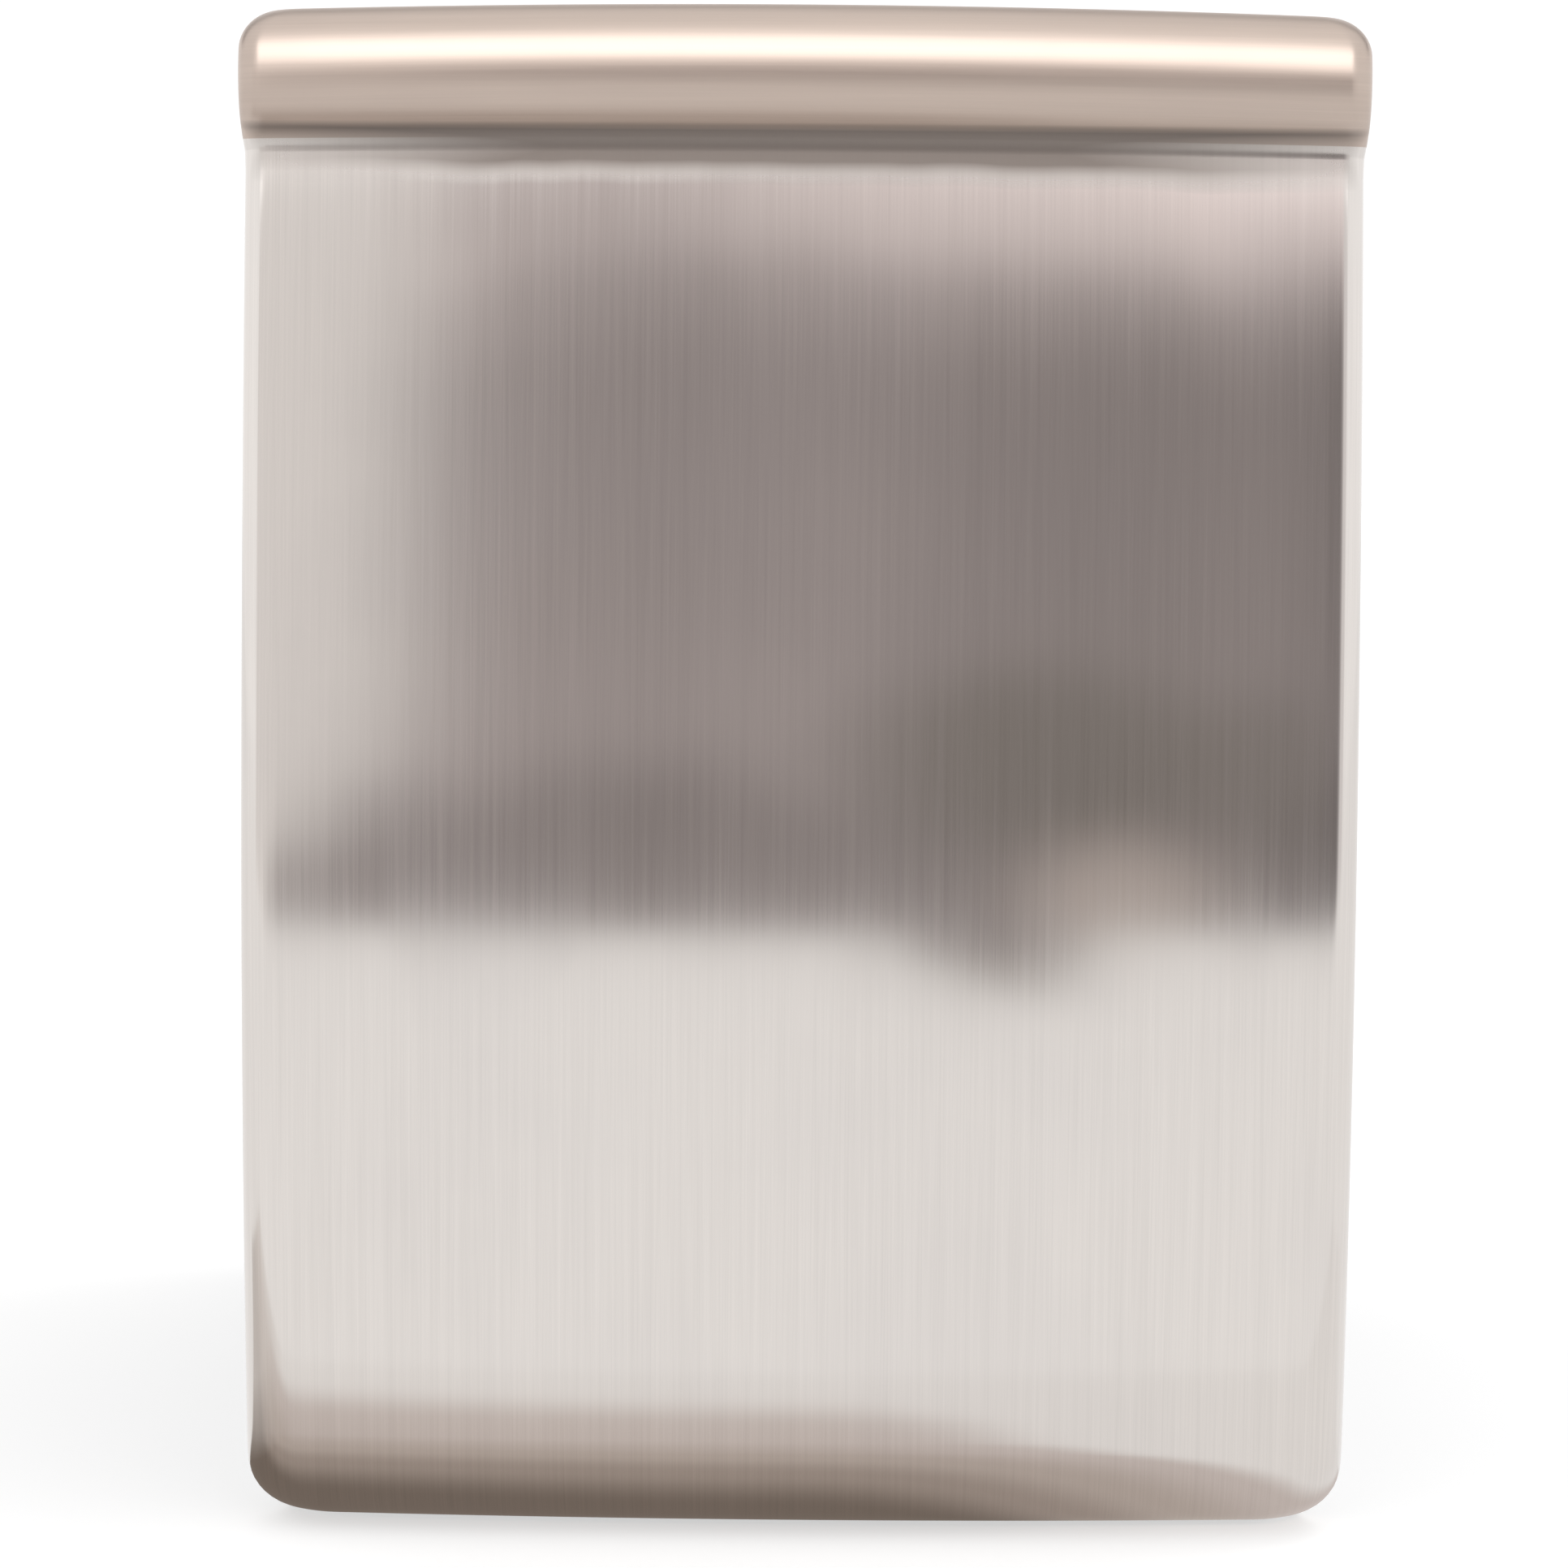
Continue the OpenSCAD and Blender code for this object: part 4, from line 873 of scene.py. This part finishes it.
def chain_pins():
    """Pin centres as (x, y), counter-clockwise from the left end of the front run."""
    screw_pr, drive_pr = (CHAIN_PITCH / 2 / math.sin(math.pi / teeth) for teeth in (SCREW_TEETH, DRIVE_TEETH))
    reach = math.hypot(SCREW_X, SHAFT_Y - SCREW_Y)
    turn = math.atan2(SHAFT_Y - SCREW_Y, -SCREW_X) + math.asin((screw_pr - drive_pr) / reach)
    run = math.sqrt(reach ** 2 - (screw_pr - drive_pr) ** 2)

    def on_circle(x, y, r, a):
        return Vector((x + r * math.cos(a), y + r * math.sin(a)))

    front_left, front_right = Vector((-SCREW_X, SCREW_Y - screw_pr)), Vector((SCREW_X, SCREW_Y - screw_pr))
    right_out = on_circle(SCREW_X, SCREW_Y, screw_pr, turn - math.pi / 2)
    drive_in = on_circle(0, SHAFT_Y, drive_pr, turn - math.pi / 2)
    drive_out = on_circle(0, SHAFT_Y, drive_pr, 1.5 * math.pi - turn)
    left_in = on_circle(-SCREW_X, SCREW_Y, screw_pr, 1.5 * math.pi - turn)
    drive_turn = 2 * math.pi - 2 * turn
    parts = (
        (2 * SCREW_X / CHAIN_PITCH, lambda t: front_left.lerp(front_right, t)),
        (turn / (2 * math.pi) * SCREW_TEETH,
         lambda t: on_circle(SCREW_X, SCREW_Y, screw_pr, turn * t - math.pi / 2)),
        (run / CHAIN_PITCH, lambda t: right_out.lerp(drive_in, t)),
        (drive_turn / (2 * math.pi) * DRIVE_TEETH,
         lambda t: on_circle(0, SHAFT_Y, drive_pr, turn - math.pi / 2 + drive_turn * t)),
        (run / CHAIN_PITCH, lambda t: drive_out.lerp(left_in, t)),
        (turn / (2 * math.pi) * SCREW_TEETH,
         lambda t: on_circle(-SCREW_X, SCREW_Y, screw_pr, 1.5 * math.pi - turn + turn * t)))
    pins = []
    for k in range(CHAIN_LINKS):
        rest = k
        for length, place in parts:
            if rest <= length:
                pins.append(place(rest / length))
                break
            rest -= length
    return pins


def drive_chain():
    """A roller chain: pins and rollers, joined by inner and outer plates in turn."""
    pins = chain_pins()
    piece = Piece()
    for k, pin in enumerate(pins):
        after = pins[(k + 1) % len(pins)]
        gap = (after - pin).length
        heading = math.degrees(math.atan2(after.y - pin.y, after.x - pin.x))
        piece.at(pin.x, pin.y, CHAIN_Z)
        piece.lathe(((3.7, -3.15), (3.96, -2.9), (3.96, 2.9), (3.7, 3.15)), 18)
        piece.lathe(((1.5, -5), (1.8, -4.8), (1.8, 4.8), (1.5, 5)), 12)
        piece.at(pin.x, pin.y, CHAIN_Z, spin=heading)
        ends = [(-4.5 * math.sin(a), 4.5 * math.cos(a)) for a in (math.pi * j / 8 for j in range(9))]
        plate = [(x, y) for x, y in ends] + [(gap / 2, -3.3)] + [(gap - x, -y) for x, y in ends] + [(gap / 2, 3.3)]
        low = 3.25 if k % 2 else 4.15
        for z0, z1 in ((low, low + 0.7), (-low - 0.7, -low)):
            piece.loft([[(x, y, z) for x, y in plate] for z in (z0, z1)])
    piece.make("roller_chain", "cabinet", "chain_steel", "drive_chain")


def roller(name, place):
    piece = Piece()
    piece.place = place @ at(156, 268, 10.5, "X")
    piece.lathe(((3.03, 0), (5.4, 0), (5.9, 1.2), (8.2, 1.2), (8.7, 0), (9.6, 0), (10.5, 0.9), (10.5, 8.4),
                 (10.1, 9), (10.5, 9.6), (10.5, 17.1), (9.6, 18), (8.7, 18), (8.2, 16.8), (5.9, 16.8), (5.4, 18),
                 (3.03, 18)), 48, wrap=True)
    piece.make("tyre_" + name, f"{name}_roller", "rubber", f"roller_{name}")


def foot(name, x):
    piece = Piece().at(x, -215, 0)
    piece.lathe(((15, 0), (16, 0.8), (16, 3.2), (15.2, 4.2), (10, 5.0)), 48)
    piece.mark = 1
    piece.loft([circle(r, z, 6) for r, z in ((7.6, 4.8), (8, 5.2), (8, 9.6), (7.6, 10))])
    piece.loft(threaded(9.8, 38, 3.4, 4, 1.5, 1, 0.25, 20))
    piece.make("leveller_" + name, f"{name}_foot", "rubber", f"foot_{name}", more=("machined_steel",), crease=50)


drive_chain()
for name, sign in (("left", -1), ("right", 1)):
    power_screw(name, sign * SCREW_X)
    roller(name, MIRROR if sign < 0 else Matrix.Identity(4))
    foot(name, sign * 180)


# ---------- camera, floor and light ----------

CAMERA_AT = Vector((0.0, -2.35, 0.52))
FOCAL_PIXELS, IMAGE_PIXELS, SENSOR = 6288, 1932, 36.0
WORLD_LIGHT, FLOOR_GLOW, FLOOR_IN_STEEL = 1.06, 0.56, 0.97
CARD_Y, SHADE_Z = CAMERA_AT.y - 0.1, 0.0012
PITCH, YAW, ROLL = (math.radians(a) for a in (5.744, -0.174, 0.439))


def make_camera():
    data = bpy.data.cameras.new("camera")
    data.sensor_width = SENSOR
    data.lens = FOCAL_PIXELS / IMAGE_PIXELS * SENSOR
    data.clip_start, data.clip_end = 0.05, 60
    camera = bpy.data.objects.new("camera", data)
    bpy.context.scene.collection.objects.link(camera)
    forward = Vector((math.sin(YAW) * math.cos(PITCH), math.cos(YAW) * math.cos(PITCH), -math.sin(PITCH)))
    level = Vector((math.cos(YAW), -math.sin(YAW), 0))
    upright = level.cross(forward)
    right = math.cos(ROLL) * level + math.sin(ROLL) * upright
    up = right.cross(forward)
    camera.matrix_world = Matrix.Translation(CAMERA_AT) @ Matrix((right, up, -forward)).transposed().to_4x4()
    bpy.context.scene.camera = camera


def area_light(name, place, aim, size, power, glossy):
    """A light that is either seen in the steel or lights the rest, and never shows itself."""
    data = bpy.data.lights.new(name, "AREA")
    data.shape = "RECTANGLE"
    data.size, data.size_y = size
    data.energy = power
    light = bpy.data.objects.new(name, data)
    bpy.context.scene.collection.objects.link(light)
    light.location = place
    light.rotation_euler = (Vector(aim) - Vector(place)).to_track_quat("-Z", "Y").to_euler()
    light.visible_camera = False
    light.visible_glossy = glossy
    light.visible_diffuse = not glossy


def ramp(tree, value, start, end, stops):
    """A colour that follows the stops, (place, grey or colour), as the value goes from start to end."""
    node = tree.nodes.new("ShaderNodeValToRGB")
    node.color_ramp.interpolation = "EASE"
    elements = node.color_ramp.elements
    while len(elements) < len(stops):
        elements.new(0.5)
    for element, (place, shade) in zip(elements, stops):
        element.position = (place - start) / (end - start)
        element.color = rgba(shade)
    tree.links.new(spread(tree, value, 0.0, 1.0, start, end), node.inputs["Fac"])
    return node.outputs["Color"]


def oval(tree, x, z, centre, size, soft=0.5):
    """1 inside a soft oval, 0 outside it."""
    squares = []
    for value, middle, half in ((x, centre[0], size[0]), (z, centre[1], size[1])):
        part = arithmetic(tree, "DIVIDE", arithmetic(tree, "SUBTRACT", value, middle), half)
        squares.append(times(tree, part, part))
    return spread(tree, add(tree, *squares), 1.0, 0.0, 1 - soft, 1 + soft)


def glowing(name):
    """An emission material for what only the steel sees, and the socket for its colour."""
    material = bpy.data.materials.new(name)
    material.use_nodes = True
    tree = material.node_tree
    tree.nodes.clear()
    out = tree.nodes.new("ShaderNodeOutputMaterial")
    glow = tree.nodes.new("ShaderNodeEmission")
    tree.links.new(glow.outputs["Emission"], out.inputs["Surface"])
    return material, tree, glow.inputs["Color"]


def stage_quad(name, low, high, material, seen=False):
    """A level or upright rectangle that isn't part of the object, from its low corner to its high one."""
    (x0, y0, z0), (x1, y1, z1) = low, high
    mesh = bpy.data.meshes.new(name)
    mesh.from_pydata([(x0, y0, z0), (x1, y0, z0), (x1, y1, z1), (x0, y1, z1)], [], [(0, 1, 2, 3)])
    mesh.materials.append(material)
    obj = bpy.data.objects.new(name, mesh)
    bpy.context.scene.collection.objects.link(obj)
    if not seen:
        obj.visible_camera = obj.visible_shadow = obj.visible_diffuse = False
    return obj


def card_material():
    """The grey room behind the camera, as the steel shows it: dark low down and on the right, light above."""
    material, tree, colour = glowing("grey_card")
    x, _, z = axes(tree)
    waver = spread(tree, noise(tree, (5, 0.1, 0.6), 3.0), -0.06, 0.06)
    level = add(tree, z, waver)
    warm = (1.0, 0.905, 0.90)
    upright = ramp(tree, level, 0.0, 1.35, [(z, [v * c for c in warm]) for z, v in (
        (0.05, 0.33), (0.22, 0.30), (0.33, 0.43), (0.60, 0.39), (0.93, 0.36), (1.04, 0.46), (1.16, 0.86),
        (1.28, 1.0))])
    across = ramp(tree, x, -0.6, 1.0, (
        (-0.5, 1.0), (-0.2, 0.90), (0.03, 1.0), (0.3, 0.82), (0.5, 0.76), (0.69, 0.86), (0.80, 0.62)))
    across_high = ramp(tree, x, -0.6, 1.0, ((-0.25, 0.62), (0.0, 0.84), (0.4, 0.90), (0.65, 1.0)))
    even = mix_colour(tree, spread(tree, z, 0.0, 1.0, 0.98, 1.16), across, across_high)
    base = mix_colour(tree, 1.0, upright, even, "MULTIPLY")
    for centre, size, soft, strength, shade in (
            ((0.34, 0.32), (0.27, 0.14), 0.5, 0.75, (0.20, 0.185, 0.17)),
            ((0.68, 0.30), (0.10, 0.12), 0.5, 0.6, (0.20, 0.185, 0.17)),
            ((0.46, 0.10), (0.13, 0.09), 0.7, 0.8, (0.62, 0.55, 0.51))):
        there = times(tree, oval(tree, x, z, centre, size, soft), strength)
        base = mix_colour(tree, there, base, rgba(shade))
    edge = ramp(tree, z, 0.0, 0.5, ((0.02, 0.30), (0.12, 0.26), (0.20, 0.12), (0.34, 0.02), (0.45, 0.0)))
    outside = spread(tree, add(tree, x, edge), 1.0, 0.0, -0.66, -0.47)
    base = mix_colour(tree, outside, base, rgba((0.86, 0.84, 0.83)))
    base = mix_colour(tree, spread(tree, x, 0.0, 1.0, 1.15, 1.6), base, rgba((0.80, 0.78, 0.78)))
    base = mix_colour(tree, spread(tree, z, 0.0, 1.0, 1.28, 1.42), base, rgba(1.0))
    aside = arithmetic(tree, "SUBTRACT", 1.0, oval(tree, x, z, (0.29, 0.0), (0.13, 0.30), 0.4))
    low = times(tree, spread(tree, aside, 0.0, 1.0), spread(tree, z, 1.0, 0.0, 0.035, 0.055))
    base = mix_colour(tree, low, base, rgba(1.0))
    tree.links.new(spread(tree, z, 1.0, 1.7, 1.28, 1.50), tree.nodes["Emission"].inputs["Strength"])
    tree.links.new(base, colour)
    return material


def shade_material():
    """The shaded floor at the foot of the front, as the steel shows it."""
    material, tree, colour = glowing("floor_shade")
    x, y, _ = axes(tree)
    right = arithmetic(tree, "MAXIMUM", x, 0.0)
    bend = times(tree, times(tree, right, right), 3.4)
    depth = arithmetic(tree, "SUBTRACT", add(tree, y, 0.46), bend)
    shade = ramp(tree, depth, -0.03, 0.20, (
        (-0.01, (0.92, 0.915, 0.91)), (0.035, (0.66, 0.60, 0.575)), (0.10, (0.52, 0.46, 0.42)),
        (0.14, (0.38, 0.325, 0.29)), (0.175, (0.20, 0.165, 0.14))))
    left = spread(tree, x, 0.75, 0.0, -0.42, -0.27)
    tree.links.new(mix_colour(tree, left, shade, rgba((0.80, 0.77, 0.75))), colour)
    return material


def floor_shade_patch_material():
    """A painted shadow on the floor in front, as the steel shows it: a soft dark oval."""
    material, tree, colour = glowing("floor_shade_patch")
    x, y, _ = axes(tree)
    dark = times(tree, oval(tree, x, y, (0.29, -2.45), (0.085, 0.40), 0.6), 0.85)
    tree.links.new(mix_colour(tree, dark, rgba(FLOOR_IN_STEEL), rgba((0.30, 0.27, 0.25))), colour)
    return material


def studio():
    scene = bpy.context.scene
    scene.view_settings.view_transform = "Standard"
    world = bpy.data.worlds.new("studio")
    scene.world = world
    world.use_nodes = True
    fill(world.node_tree, world.node_tree.nodes["Background"], {"Color": rgba(1.0), "Strength": WORLD_LIGHT})

    material, tree, bsdf = shader("pale_floor")
    base = mix_colour(tree, spread(tree, noise(tree, 3, 2.0), 0.0, 1.0), rgba(0.505), rgba(0.515))
    fill(tree, bsdf, {"Base Color": base, "Emission Color": rgba(1.0), "Emission Strength": FLOOR_GLOW,
                      "Roughness": 0.9, "Specular IOR Level": 0.0})
    floor = stage_quad("floor", (-9, -9, 0), (9, 9, 0), material, seen=True)
    floor.visible_glossy = False
    material, tree, colour = glowing("floor_in_steel")
    colour.default_value = rgba(FLOOR_IN_STEEL)
    stage_quad("floor_in_steel", (-9, -9, 0.0004), (9, 9, 0.0004), material)

    stage_quad("grey_card", (-2.6, CARD_Y, 0.001), (2.4, CARD_Y, 2.0), card_material())
    stage_quad("floor_shade", (-0.7, -0.50, SHADE_Z), (0.7, -0.20, SHADE_Z), shade_material())
    # Painted shadow on the floor in front, seen only in the steel
    stage_quad("floor_shade_patch", (0.15, CARD_Y, SHADE_Z), (0.45, -1.55, SHADE_Z), floor_shade_patch_material())
    # A painted reflection behind the object, pale below and dark above, seen only in the steel
    material, tree, colour = glowing("dark_band_in_steel")
    height = spread(tree, axes(tree)[2], 0.0, 1.0, 1.9, 2.2)
    tree.links.new(mix_colour(tree, height, rgba((0.8, 0.8, 0.84)), rgba((0.22, 0.20, 0.19))), colour)
    stage_quad("dark_band_in_steel", (-4, 2, 1.85), (4, 2, 2.9), material)
    area_light("softbox", (0, -1.5, 1.75), (0, -0.28, 0.6), (2.2, 1.1), 13, glossy=True)
    area_light("key", (1.6, 0.8, 2.6), (0, 0, 0.2), (1.6, 1.6), 16, glossy=False)


make_camera()
studio()
